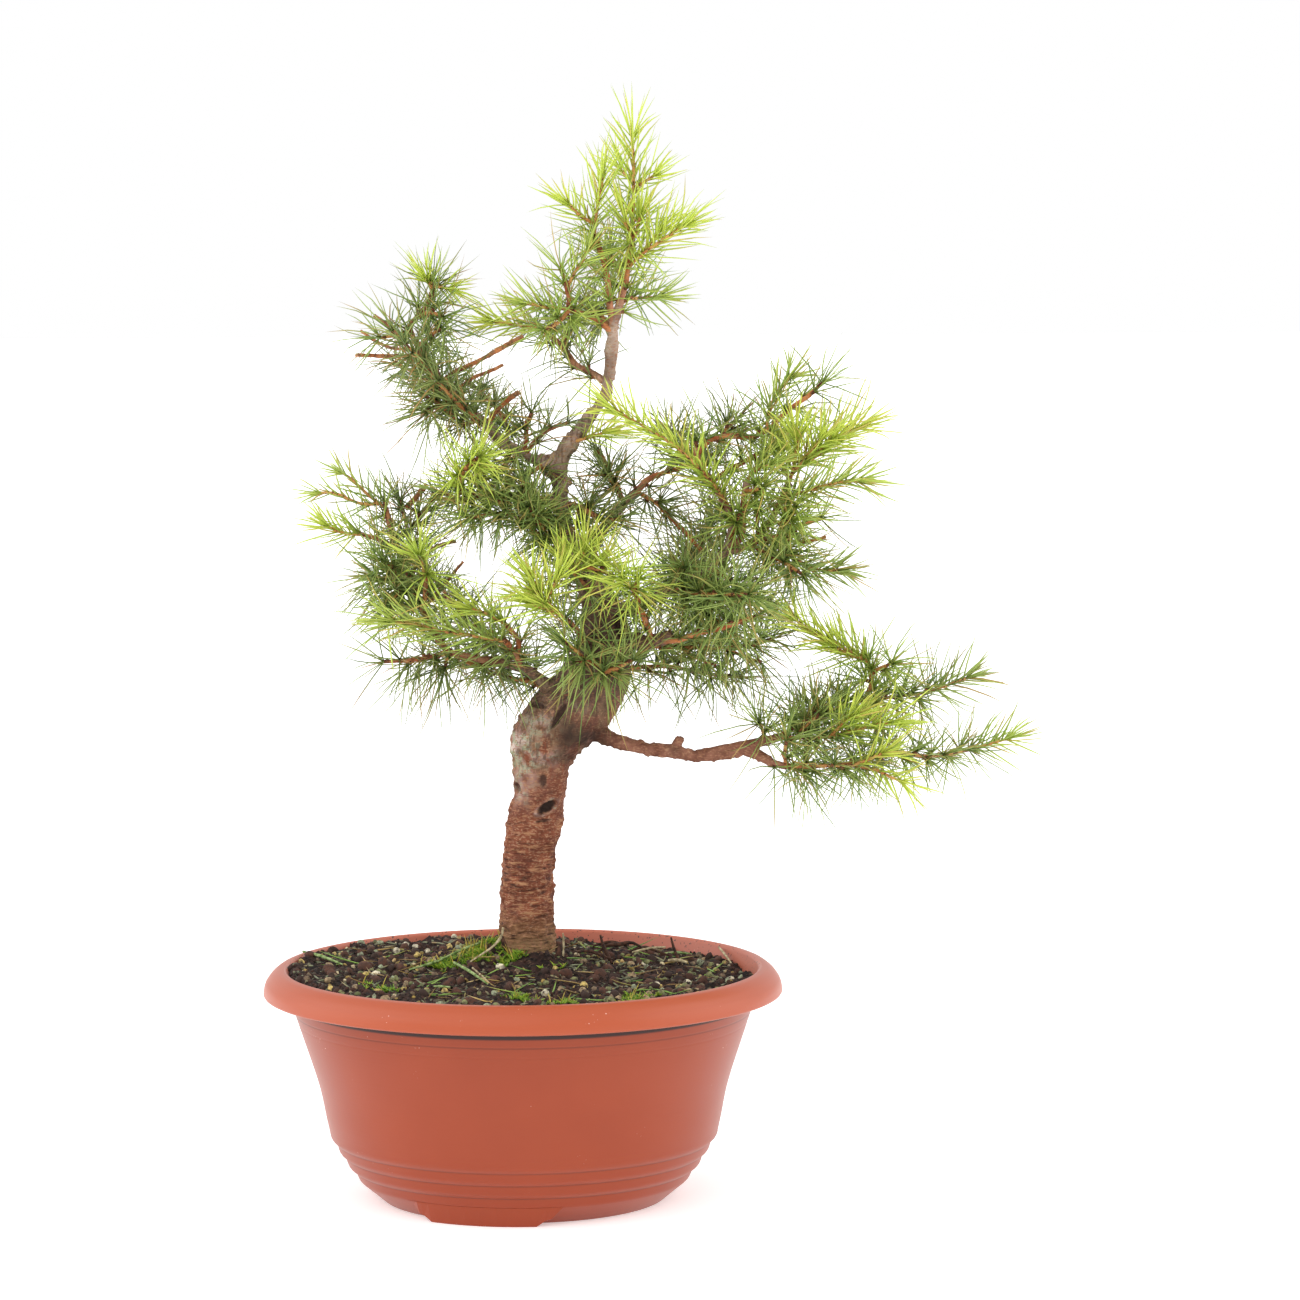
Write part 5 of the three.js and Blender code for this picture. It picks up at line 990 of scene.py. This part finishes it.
def fused(meshes):
    """One mesh of several, each keeping its materials and attributes."""
    if len(meshes) == 1:
        return meshes[0]
    objects = [placed("part", mesh) for mesh in meshes]
    with bpy.context.temp_override(active_object=objects[0], object=objects[0], selected_objects=objects,
                                   selected_editable_objects=objects):
        bpy.ops.object.join()
    whole = objects[0].data
    bpy.data.objects.remove(objects[0])
    return whole


def nearest_on(path, point):
    """The spot of a path that is nearest to a point."""
    spots = []
    for start, end in zip(path, path[1:]):
        spot, share = geometry.intersect_point_line(point, start[:3], end[:3])
        spots.append(Vector(start[:3]).lerp(Vector(end[:3]), min(1, max(0, share))))
    return min(spots, key=lambda spot: (spot - Vector(point)).length)


STEM_RADII = {LONG: (1.05, 0.75), SPUR: (1.4, 0.9), HANGING: (1.0, 0.8)}  # at the foot and the tip
TIP_CUT = {LONG: 5.0, SPUR: 2.0, HANGING: 0.0}  # so that the last needles end where the frame's do


def shoot_path(kind, knots):
    """A shoot's knots with the stem's radius at each."""
    low, high = STEM_RADII[kind]
    before, last = Vector(knots[-2]), Vector(knots[-1])
    ended = [*knots[:-1], tuple(last + (before - last).normalized() * TIP_CUT[kind])]
    return [(*knot, low + (high - low) * i / (len(knots) - 1)) for i, knot in enumerate(ended)]


SHAPES = {
    LONG: {"Width": 1.08 * MM, "Curl": 0.2, "Droop": 0.04, "Spacing": 0.78 * MM, "Low": math.radians(55),
           "High": math.radians(36), "Rise": 0.25, "Tuft": 14},
    SPUR: {"Width": 0.88 * MM, "Curl": 0.36, "Droop": 0.1, "Spacing": 4.8 * MM, "Bare": 4 * MM, "Rise": 0.15,
           "Rosette": 21},
}
SHAPES[HANGING] = {**SHAPES[SPUR], "Curl": 0.25, "Rise": -1.3, "Rosette": 6}
LIMB_ROSETTES = {**SHAPES[SPUR], "Spacing": 6.5 * MM, "Rosette": 10, "Length": 30 * MM}
JOIN = 6  # a side shoot that starts this near its spray's stem grows from it, and any other from the wood
# The share of their needles that old or shaded sprays still carry.
THINNED = {
    "apex": 0.65, "top_front": 0.8, "top_left": 0.75, "top_right": 0.85, "crown_dark": 0.8,
    "upper_front": 0.75, "upper_left": 0.7, "upper_middle": 0.75, "upper_back": 0.8, "upper_rear": 0.8,
    "left_old": 0.5, "left_under": 0.5, "left_rear": 0.65, "left_dark": 0.7, "centre_low": 0.75,
    "right_low": 0.75, "right_low_rear": 0.65, "right_dark": 0.8, "low_tip": 0.65, "low_far": 0.85,
    "low_rear": 0.85,
}
# The tone of the older needles where a spray's spur shoots are darker than its long shoots.
TWO_TONED = {"low_middle": GREEN, "low_tip": GREEN, "low_riser": FRESH, "low_far": GREEN, "upper_top": FRESH}
LENGTH_FACTOR = 1.34  # the frame's needles are the mean, and shorter than the longest


def thinned(kind, share):
    """The sizes of a kind of shoot that carries only a share of its needles."""
    sizes = dict(SHAPES[kind])
    if kind == LONG:
        sizes["Spacing"] /= share
    for count in ("Tuft", "Rosette"):
        if count in sizes:
            sizes[count] = round(sizes[count] * share)
    return sizes


def spray_mesh(shoots, trees, skins, seed, share, older=None):
    """The stems, buds and needles of one spray, with older needles on its spur shoots where they differ."""
    grown_shoots = []
    main = None
    for i, (kind, length, *knots) in enumerate(shoots):
        if main and (nearest_on(main, knots[0]) - Vector(knots[0])).length < JOIN:
            knots[0] = tuple(nearest_on(main, knots[0]))
        main = main or knots
        worn = {**skins, "Skin": older} if older and kind != LONG else skins
        grown_shoots.append(grown(trees[kind], path_mesh([shoot_path(kind, knots)]),
                                  Length=LENGTH_FACTOR * length * MM, Seed=seed + SHOOT_SEEDS * i,
                                  **worn, **thinned(kind, share)))
    return fused(grown_shoots)


LEAFY_LIMBS = {
    FRESH: ("leader", "top_left", "top_twig", "fresh_fork", "right_inner", "side_twig"),
    GREEN: ("top_back", "top_right_spur", "middle_left", "low_left", "low_left_fork", "front_left",
            "front_top", "right", "right_upper", "bare_stub_m", "front_rosette", "cut_stub", "bare_stub_o",
            "low", "low_front"),
    DEEP: ("crown_left", "crown_left_fork", "upper_left", "bare_stub_d", "bare_stub_e", "bare_stub_i",
           "hanging_twig", "rosette_twig", "inner", "inner_up", "inner_cross"),
}
LEAFY_RADIUS = 3.0  # thicker wood has shed its spur buds


def leafy_part(limb):
    """The part of a limb that still carries spur buds."""
    return [knot for knot in limb if knot[3] < LEAFY_RADIUS]


def foliage(needles):
    """A fine piece for each of the frame's sprays, and the rosettes on the limbs themselves."""
    trees = {LONG: long_shoot_tree(needles), SPUR: spur_shoot_tree(needles, with_stem=True)}
    trees[HANGING] = trees[SPUR]
    greens = {
        LIME: needle_skin("young_larch_needle", "#D2E05E", "#AEC850", "#CEAC62"),
        FRESH: needle_skin("fresh_larch_needle", "#BFD063", "#8AA64C", "#C89C58"),
        GREEN: needle_skin("green_larch_needle", "#AEBF66", "#6A8543", "#BC9256"),
        DEEP: needle_skin("shaded_larch_needle", "#A0AE62", "#5A6E3A", "#BC8450"),
    }
    shared = {"Bark": young_bark(), "Scales": bud_scales()}
    for number, (name, (tone, *shoots)) in enumerate(SPRAYS.items()):
        older = greens[TWO_TONED[name]] if name in TWO_TONED else None
        mesh = spray_mesh(shoots, trees, {"Skin": greens[tone], **shared}, SEED + SPRAY_SEEDS * number,
                          THINNED.get(name, 1.0), older)
        piece("needles_" + name, mesh, "needles_" + tone, "spray_" + name)
    on_wood = spur_shoot_tree(needles, with_stem=False)
    for number, (tone, names) in enumerate(LEAFY_LIMBS.items()):
        paths = [leafy_part(LIMBS[name]) for name in names]
        mesh = grown(on_wood, path_mesh(paths), Seed=SEED + number, Skin=greens[tone], **shared,
                     **LIMB_ROSETTES)
        piece("limb_rosettes_" + tone, mesh, "needles_" + tone)


# Collars and shoulders that fill the trunk out.
SWELLINGS = (
    ((44, 10, 322, 11), (48.5, 10, 308, 13.5), (45.5, 11, 292, 14), (40, 12, 278, 11.5), (33.5, 13, 272, 9.5),
     (26, 14, 262, 8.5), (21.5, 15.5, 252, 8), (18.5, 16, 243, 7)),
    ((27, 8, 410, 4), (19, 9, 419, 4.6), (10, 11, 427, 3.8)),
    ((57, 8, 261.5, 3.2), (58.5, 7, 258.2, 2.0)), ((49.5, 10, 266, 4), (51.5, 9, 269.8, 1.9)),
    ((-4, 15, 219, 3), (-5.8, 14.5, 220.5, 1.7)), ((16, 15, 178, 3.4), (18.4, 14, 179, 1.7)),
    ((14, 14, 203, 5), (19.2, 14, 203.5, 1.8)), ((-8, 16, 186, 3), (-10.2, 15.5, 186.5, 1.8)),
    ((4, 18.5, 190, 10), (7.4, 18, 207, 13.8), (10.2, 17.5, 223, 13.6), (12.4, 16.5, 238, 14),
     (13, 16, 250, 14.5)),
)
THICK = 2.6  # wood this thick is one solid with the trunk
OVERLAP = 0.8  # how much thicker the thinner limbs start, inside that solid
TWIG_FADE = 1.1  # how much thinner than thick wood a twig is where it has a twig's colour
VOXEL, SOFTENING = 0.9, 3
BARK = {"Lump": 1.0, "Ridge": 0.5, "Flake": 0.46, "Knob": 1.0 * MM}  # how high each kind of unevenness rises
# Old wounds on the side that faces the viewer: (x, z), half width, half height, turn in degrees, depth,
# and how dark, which is partly the wound's own dark wood and partly painted shade in its pit.
WOUNDS = (
    ((14.2, 225.5), 5.2, 2.5, 32, 2.4, 1.0), ((12.0, 217.6), 3.8, 0.8, 8, 0.7, 0.8),
    ((12.4, 241.5), 2.0, 3.4, -4, 0.4, 0.8), ((-2.6, 236.5), 1.8, 2.8, 10, 1.2, 0.7),
    ((21.5, 279.5), 1.9, 8.0, -32, 2.0, 0.9), ((9.5, 285.0), 5.5, 1.5, -8, 0.8, 0.75),
    ((59.0, 331.0), 4.2, 7.5, 10, 3.0, 0.85),
)
# Where a wound's pit and its dark end against its size, and over how far that fades.
PIT_END, DARK_END, WOUND_FADE = 1.25, 1.2, 0.25
# The healed lip round a wound: its place and width against the wound's size, and its height.
LIP_AT, LIP_WIDTH, LIP_HEIGHT = 1.35, 0.25, 0.7
# Soft marks on that side: (x, z), half width, half height, then how dark and how pale; the dark
# is painted shade round the joins of the limbs.
MARKS = (
    ((38, 266), 13, 8, 1.0, 0.0), ((27, 268), 9, 8, 0.9, 0.0), ((26, 256), 7, 7, 0.7, 0.0),
    ((-3, 259), 13, 18, 0.0, 1.0), ((7, 275), 13, 10, 0.0, 0.85), ((13, 257), 8, 10, 0.0, 0.5),
    ((-1, 236), 5, 9, 0.0, 0.5),
    ((34, 288), 12, 9, 0.35, 0.3), ((44, 330), 15, 22, 0.45, 0.0), ((88, 259), 4, 4, 0.4, 0.0),
    ((46, 262), 6, 4, 0.5, 0.0),
)


def thick_parts():
    """The runs of the limbs that are thick, each with the first thin knot."""
    for limb in LIMBS.values():
        count = sum(1 for knot in limb if knot[3] >= THICK)
        if count:
            yield limb[:count + 1]


def remeshed(mesh, voxel):
    """One closed skin over overlapping solids."""
    start = placed("start", mesh)
    skin = start.modifiers.new("skin", "REMESH")
    skin.mode = "VOXEL"
    skin.voxel_size = voxel * MM
    soft = start.modifiers.new("soft", "SMOOTH")
    soft.iterations = SOFTENING
    return settled(start)


def wounded(mesh):
    """Presses the wounds into the bark and notes where it is dark, with painted shade in the pits and round
    the limbs' joins, and where pale.
    """
    count = len(mesh.vertices)
    places = np.empty(count * 3)
    mesh.vertices.foreach_get("co", places)
    places = places.reshape(-1, 3) / MM
    normals = np.array([vertex.normal for vertex in mesh.vertices])
    facing = np.clip(-normals[:, 1] * 1.6, 0, 1)  # 1 on the front, 0 on the sides and the back
    dark, pale = np.zeros(count), np.zeros(count)
    for (x, z), wide, tall, turn, depth, dim in WOUNDS:
        angle = math.radians(turn)
        across = (places[:, 0] - x) * math.cos(angle) + (places[:, 2] - z) * math.sin(angle)
        along = (places[:, 2] - z) * math.cos(angle) - (places[:, 0] - x) * math.sin(angle)
        away = np.hypot(across / wide, along / tall)
        pit = np.clip(PIT_END - away, 0, 1) * facing
        lip = np.exp(-((away - LIP_AT) / LIP_WIDTH) ** 2) * facing
        move = -depth * np.minimum(1, pit * 2) + LIP_HEIGHT * lip
        places += normals * move[:, None]
        dark = np.maximum(dark, dim * np.clip((DARK_END - away) / WOUND_FADE, 0, 1) * facing)
        pale = np.maximum(pale, 0.4 * lip * min(1, depth / 2))
    for (x, z), wide, tall, dim, light in MARKS:
        near = np.exp(-(((places[:, 0] - x) / wide) ** 2 + ((places[:, 2] - z) / tall) ** 2)) * facing
        dark = np.maximum(dark, dim * near)
        pale = np.maximum(pale, light * near)
    mesh.vertices.foreach_set("co", (places * MM).ravel())
    return marked(mesh, hollow=dark, pale=pale)


def wood():
    """Trunk with its thick limbs, and the thinner limbs that grow on from them."""
    bark = old_bark()
    tubes = limb_tree()
    solid = grown(tubes, path_mesh([TRUNK, *SWELLINGS, *thick_parts()]), Relief=0.0, Bark=bark)
    trunk = wounded(grown(bark_tree(), remeshed(solid, VOXEL), Skin=bark, **BARK))
    piece("trunk", trunk, "bark", "wood")
    thin = [[knot for knot in limb if knot[3] < THICK + OVERLAP] for limb in LIMBS.values()]
    thin = [path for path in thin if len(path) > 1]
    limbs = grown(tubes, path_mesh([*thin, *FINE_TWIGS.values()]), Relief=1.1 * MM, Bark=bark)
    widths = np.empty(len(limbs.vertices))
    limbs.attributes["girth"].data.foreach_get("value", widths)
    twig = np.clip((THICK * MM - widths) / (TWIG_FADE * MM), 0, 1)
    piece("limbs", marked(limbs, twig=twig), "bark")


# Each corner is (radius, height, rounding), from the middle of the underside out, up and in again.
POT_OUTSIDE = (
    (0, 0, 0), (81.9, 0, 0.6), (91.5, 8, 1.2), (95.8, 11.5, 1.5), (98.1, 17, 0.4), (101.9, 19.4, 1.8),
    (103.7, 25.3, 0.4), (107.0, 27.6, 1.8), (108.6, 33.2, 0.4), (111.9, 35.9, 2.0), (112.8, 41, 3),
    (114.6, 49, 5), (116.9, 62, 6), (120.3, 74, 8), (129.6, 102, 0.5), (129.72, 102.8, 0.3),
    (130.2, 103.9, 0.4), (131.6, 108.2, 0.3), (131.66, 108.8, 0.3), (132.05, 109.6, 0.3), (134, 117, 1),
    (134.8, 123, 2),
)
POT_RIM = (
    (142.0, 129.0, 1.5), (145.6, 124, 1), (146.8, 118.3, 0.4), (150, 119.3, 1.4), (149.2, 124.2, 1.0),
    (148.3, 126.4, 0.8), (145.4, 130.6, 3), (141.2, 133.7, 1.2), (137.9, 134.3, 0.8), (136.0, 133.0, 0.8),
)
POT_INSIDE = (
    (131.2, 116.5, 2), (117.6, 74, 6), (108.7, 41, 6), (88.7, 11.5, 3), (79.5, 4.5, 3), (0, 4.5, 0),
)
POT_SEGMENTS = 192
ROUNDING_STEPS = (0, 0.33, 0.67, 1)
LONGEST_ROUNDING = 0.45  # against the side that it takes a share of
FOOT_TURNS = (-104, 37, 146.5)  # degrees, the middle of each foot
FOOT_SECTION = ((92.0, 10.5), (80.0, 0.6), (81.0, 0.0), (92.3, 0.0), (92.8, 0.5), (95.7, 11.4))
# The foot's sides slope up in two stages: (degrees from its middle, height of its lower edge).
FOOT_SIDE = ((0, 0), (19.5, 0), (22.5, 3.6), (24.5, 4.4), (28.5, 11.3))
FOOT_TOP, FOOT_SLOPE = 11.4, 0.9
FOOT_STEPS = 10
DRAIN_CIRCLE, DRAIN_RADIUS, DRAIN_COUNT = 58, 5.5, 4
DRILL_LENGTH, DRILL_SIDES = 20, 24


def rounded(corners):
    """An outline through corners of (radius, height, rounding), as knots for a path."""
    outline = []
    for i, (x, z, rounding) in enumerate(corners):
        here = Vector((x, z))
        if rounding == 0:
            outline.append(here)
            continue
        before, after = Vector(corners[i - 1][:2]) - here, Vector(corners[i + 1][:2]) - here
        start = here + before.normalized() * min(rounding, LONGEST_ROUNDING * before.length)
        end = here + after.normalized() * min(rounding, LONGEST_ROUNDING * after.length)
        for share in ROUNDING_STEPS:
            outline.append(start.lerp(here, share).lerp(here.lerp(end, share), share))
    return [(point.x, 0, point.y, 1) for point in outline]


def foot_mesh(turn, skin):
    """One foot under the skirt, with sloping two-stage sides."""
    half = FOOT_SIDE[-1][0]
    angles = sorted({side * angle for angle, _ in FOOT_SIDE for side in (-1, 1)}
                    | {half * (2 * i / FOOT_STEPS - 1) for i in range(FOOT_STEPS + 1)})
    corners, faces = [], []
    sections = len(FOOT_SECTION)
    for angle in angles:
        edge = float(np.interp(abs(angle), [a for a, _ in FOOT_SIDE], [h for _, h in FOOT_SIDE]))
        around = math.radians(turn + angle)
        for radius, height in FOOT_SECTION:
            corners.append([MM * radius * math.cos(around), MM * radius * math.sin(around),
                            MM * max(height, edge * min(1, height / FOOT_TOP + FOOT_SLOPE))])
    for i in range(len(angles) - 1):
        for j in range(sections):
            a, b = i * sections + j, i * sections + (j + 1) % sections
            faces.append((a, b, b + sections, a + sections))
    faces.append(tuple(reversed(range(sections))))
    faces.append(tuple((len(angles) - 1) * sections + j for j in range(sections)))
    mesh = bpy.data.meshes.new("foot")
    mesh.from_pydata(corners, [], faces)
    mesh.materials.append(skin)
    return mesh


def drained(mesh):
    """Cuts the drain holes through the pot's floor."""
    drill = bmesh.new()
    for i in range(DRAIN_COUNT):
        turn = 2 * math.pi * (i + 0.5) / DRAIN_COUNT
        place = [MM * DRAIN_CIRCLE * math.cos(turn), MM * DRAIN_CIRCLE * math.sin(turn), 0]
        bmesh.ops.create_cone(drill, cap_ends=True, segments=DRILL_SIDES, radius1=DRAIN_RADIUS * MM,
                              radius2=DRAIN_RADIUS * MM, depth=DRILL_LENGTH * MM,
                              matrix=Matrix.Translation(place))
    cutter = placed("drains", bpy.data.meshes.new("drains"))
    drill.to_mesh(cutter.data)
    drill.free()
    solid = placed("solid", mesh)
    cut = solid.modifiers.new("drains", "BOOLEAN")
    cut.object = cutter
    cut.solver = "EXACT"
    result = settled(solid)
    bpy.data.objects.remove(cutter)
    return result


def pot():
    """The bowl with its rim, rings, drains and feet."""
    plastic = pot_plastic()
    outline = rounded([*POT_OUTSIDE, *POT_RIM, *POT_INSIDE])
    top = max(range(len(outline)), key=lambda i: outline[i][2])
    outline = [(*knot[:3], float(i > top)) for i, knot in enumerate(outline)]
    bowl = grown(turned_tree(), path_mesh([outline]), Segments=POT_SEGMENTS, Skin=plastic)
    feet = [foot_mesh(turn, plastic) for turn in FOOT_TURNS]
    piece("bowl", fused([drained(bowl), *feet]), "pot_plastic", "pot")


SOIL_LEVEL = 127.6
CLODS = {"Large": 2.6 * MM, "Small": 1.3 * MM}  # how high they rise
SOIL_HEAP, SOIL_HEAP_WIDTH = 11.5, 42
SOIL_FALL = 0.03  # drop per millimetre towards the right
SOIL_EDGE = 135.0  # radius to which it reaches, inside the pot's wall
LITTER_EDGE = 118.0
SOIL_FOOT = ((133.6, 121), (130.4, 114.5), (116.9, 74), (108, 41), (88, 12), (79, 5.2))
SOIL_RINGS, SOIL_TURNS = 112, 300
RING_CROWDING = 0.8  # below 1 the rings lie closer together towards the edge
BUMP_HEIGHT, BUMP_WIDTH = 2.6, 26
EDGE_FADE, LITTER_FADE = 2, 8  # over how far the crumbs and the litter thin out
MOSS_PATCH = 9
TRUNK_PLACE = (2, 20)
# Where moss grows: (x, y), half width across and in depth, share covered.
MOSS_BEDS = (
    ((-42, 6), 13, 9, 1.9), ((-26, 14), 15, 10, 2.1), ((-13, 24), 9, 10, 2.0), ((-5, 0), 8, 6, 1.4),
    ((16, -12), 7, 5, 0.5), ((60, -70), 12, 6, 0.5), ((-80, -70), 8, 6, 0.9), ((24, -104), 9, 5, 0.8),
    ((66, -92), 9, 5, 0.7), ((-2, -88), 7, 5, 0.8),
)
# Where the ground is higher: (x, y), half width across and in depth, height.
MOUNDS = (((-17, 22), 18, 13, 4.0), ((60, 52), 30, 18, 3.5), ((-5, 0), 9, 7, 2.0), ((16, 2), 8, 5, 2.5))


def soil_height(x, y):
    """Height of the ground, which heaps up round the trunk."""
    away = math.hypot(x - TRUNK_PLACE[0], y - TRUNK_PLACE[1])
    mounds = sum(tall * math.exp(-((x - mx) / wide) ** 2 - ((y - my) / deep) ** 2)
                 for (mx, my), wide, deep, tall in MOUNDS)
    return SOIL_LEVEL + SOIL_HEAP * math.exp(-(away / SOIL_HEAP_WIDTH) ** 2) - SOIL_FALL * x + mounds


def soil_mesh():
    """The ground as a closed body that notes how open, mossy, littered and bare each spot is."""
    corners, open_ground, mossy, littered = [(0, 0, MM * soil_height(0, 0))], [1.0], [0.0], [1.0]
    last = SOIL_RINGS + len(SOIL_FOOT)
    for ring in range(1, last + 1):
        on_top = ring <= SOIL_RINGS
        if on_top:
            radius = SOIL_EDGE * (ring / SOIL_RINGS) ** RING_CROWDING
            share_open = min(1.0, max(0.0, (SOIL_EDGE - radius) / EDGE_FADE))
        else:
            radius, z = SOIL_FOOT[ring - SOIL_RINGS - 1]
            share_open = 0.0
        for turn in range(SOIL_TURNS):
            angle = 2 * math.pi * turn / SOIL_TURNS
            x, y = radius * math.cos(angle), radius * math.sin(angle)
            if on_top:
                bump = BUMP_HEIGHT * noise.fractal(Vector((x, y, 0)) / BUMP_WIDTH, 0.9, 2.0, 3)
                z = soil_height(x, y) + bump
            beds = [share * math.exp(-(((x - bx) / wide) ** 2 + ((y - by) / deep) ** 2) * 1.4)
                    for (bx, by), wide, deep, share in MOSS_BEDS]
            patchy = 0.5 + 1.2 * noise.noise(Vector((x, y, 5)) / MOSS_PATCH)
            open_ground.append(share_open)
            mossy.append(max(0.0, max(beds) * patchy) * share_open)
            littered.append(min(1.0, max(0.0, (LITTER_EDGE - radius) / LITTER_FADE)) * share_open)
            corners.append((MM * x, MM * y, MM * z))
    faces = [(0, 1 + turn, 1 + (turn + 1) % SOIL_TURNS) for turn in range(SOIL_TURNS)]
    for ring in range(last - 1):
        for turn in range(SOIL_TURNS):
            a, b = [1 + ring * SOIL_TURNS + (turn + step) % SOIL_TURNS for step in (0, 1)]
            faces.append((a, a + SOIL_TURNS, b + SOIL_TURNS, b))
    faces.append(tuple(1 + (last - 1) * SOIL_TURNS + turn for turn in reversed(range(SOIL_TURNS))))
    mesh = bpy.data.meshes.new("ground")
    mesh.from_pydata(corners, [], faces)
    bare = [share * max(0.0, 1 - 1.6 * moss) for share, moss in zip(open_ground, mossy)]
    return marked(mesh, open=open_ground, mossy=mossy, littered=littered, bare=bare)


def ground(needles):
    """Peat, and the grit, moss and litter on it."""
    earth = grown(clod_tree(), soil_mesh(), Skin=peat(), **CLODS)
    piece("peat_ground", earth, "soil", "soil")
    stones = stone_tree("bare")
    crumb = mixed("peat_crumbs", 0.9, ("#1C1411", "#2F1F18", "#241914", "#43281E"))
    lump = mixed("peat_lumps", 0.9, ("#4A2E23", "#382620", "#5A392C"))
    grit = mixed("pale_grit", 0.7, ("#BAA47A", "#6E7258", "#7E785C", "#A88C46", "#564A3C", "#6A7246",
                                    "#806A50", "#888A58"))
    pebble = mixed("cream_pebbles", 0.6, ("#E2D0A4", "#C9A86A", "#9FA886", "#D8BC6C", "#EADFC0", "#A88E68"))
    for name, skin, density, least, most, rounds, seed in (
            ("peat_crumbs", crumb, 62000, 1.4, 3.2, 1, 1), ("peat_lumps", lump, 4600, 4.0, 8.0, 2, 2),
            ("grit", grit, 13000, 1.5, 4.6, 2, 3), ("pebbles", pebble, 2300, 3.0, 6.0, 2, 4)):
        mesh = grown(stones, earth, Density=float(density), Least=least * MM, Most=most * MM, Rounds=rounds,
                     Seed=SEED + seed, Skin=skin)
        piece(name, mesh, "soil")
    moss = needle_skin("cushion_moss", "#96B62F", "#4F7A22", "#B8A83C")
    stalk = needle_skin("moss_stalk", "#D2C052", "#9E8E34", "#CDA85C")
    straw = needle_skin("dry_straw", "#C4A45C", "#7A5C38", "#CDB480")
    chip = needle_skin("rotting_needle", "#8E9272", "#585C46", "#AC9468")
    fallen = needle_skin("fallen_needle", "#8FB04E", "#5E8440", "#B8A060")
    for name, skin, cover, density, length, width, rise, amount, curl, seed in (
            ("moss", moss, "mossy", 560000, 3.4, 0.7, 1.2, 5, 0.4, 11),
            ("moss_stalks", stalk, "mossy", 70000, 10.0, 0.7, 3.4, 1, 0.2, 12),
            ("needle_bits", chip, "bare", 6500, 4.4, 1.3, 0.2, 1, 0.6, 15),
            ("fallen_needles", fallen, "littered", 1200, 20.0, 1.0, 0.12, 1, 0.35, 13),
            ("straw", straw, "littered", 2200, 17.0, 0.9, 0.14, 1, 0.35, 14)):
        mesh = grown(blade_tree(needles, cover), earth, Density=float(density), Length=length * MM,
                     Width=width * MM, Curl=curl, Droop=0.05, Rise=rise, Amount=amount, Seed=SEED + seed,
                     Skin=skin)
        piece(name, mesh, "soil")
    bits = limb_tree(step=3.0, sides=6)
    for tone, dark, light in (("pale", "#8E7E60", "#CDBE98"), ("dark", "#2A1D17", "#573A2C"),
                              ("green", "#5C763A", "#A2B478")):
        skin = weathered(tone + "_litter", dark, light)
        mesh = grown(bits, path_mesh(LITTER[tone]), Relief=0.4 * MM, Bark=skin)
        piece("litter_" + tone, mesh, "soil")


# ---------------------------------------------------------------- stage

FLOOR_SIZE = 24  # metres
SUN_SPREAD = 60  # degrees, as wide as a large soft box
# Each light's strength, and its tilt in degrees about X and Y.
LIGHTS = {"window": (0.6, 38, -24), "left_sheet": (1.15, 0, -66), "right_sheet": (1.18, 0, 66)}
# Where the lens is, in metres, how it leans, and how long it is for a frame 1300 pixels wide.
EYE = Vector((0.0743, -3.0, 0.621))
PITCH, ROLL = math.radians(5.79), math.radians(0.3)
SENSOR, FOCAL_PIXELS, FRAME_PIXELS = 36, 5252, 1300


def stage():
    """A plain pale floor and soft studio light."""
    bpy.ops.mesh.primitive_plane_add(size=FLOOR_SIZE)
    floor = bpy.context.object
    floor.name = "floor"
    paper = new_material("matt_white_film_lit_from_below", 0.9,
                         **{"Base Color": linear("#F6F6F6"), "Emission Color": linear("#FFFFFF"),
                            "Emission Strength": 0.36})[0]
    floor.data.materials.append(paper)
    world = bpy.data.worlds.new("studio")
    bpy.context.scene.world = world
    world.use_nodes = True
    world.node_tree.nodes["Background"].inputs["Color"].default_value = (1, 1, 1, 1)
    world.node_tree.nodes["Background"].inputs["Strength"].default_value = 1.0
    for name, (energy, tip, lean) in LIGHTS.items():
        sheet = bpy.data.lights.new(name, "SUN")
        sheet.energy = energy
        sheet.angle = math.radians(SUN_SPREAD)
        placed(name, sheet).rotation_euler = [math.radians(tip), math.radians(lean), 0]


def camera():
    """A long lens three metres off, level with the tree's crown."""
    lens = bpy.data.cameras.new("camera")
    lens.sensor_width = SENSOR
    lens.lens = SENSOR * FOCAL_PIXELS / FRAME_PIXELS
    view = placed("camera", lens)
    view.matrix_world = (Matrix.Translation(EYE) @ Matrix.Rotation(math.pi / 2 - PITCH, 4, "X")
                         @ Matrix.Rotation(-ROLL, 4, "Z"))
    bpy.context.scene.camera = view


camera()
stage()
bpy.context.scene.view_settings.view_transform = "Standard"
blades = needle_tree()
foliage(blades)
wood()
pot()
ground(blades)
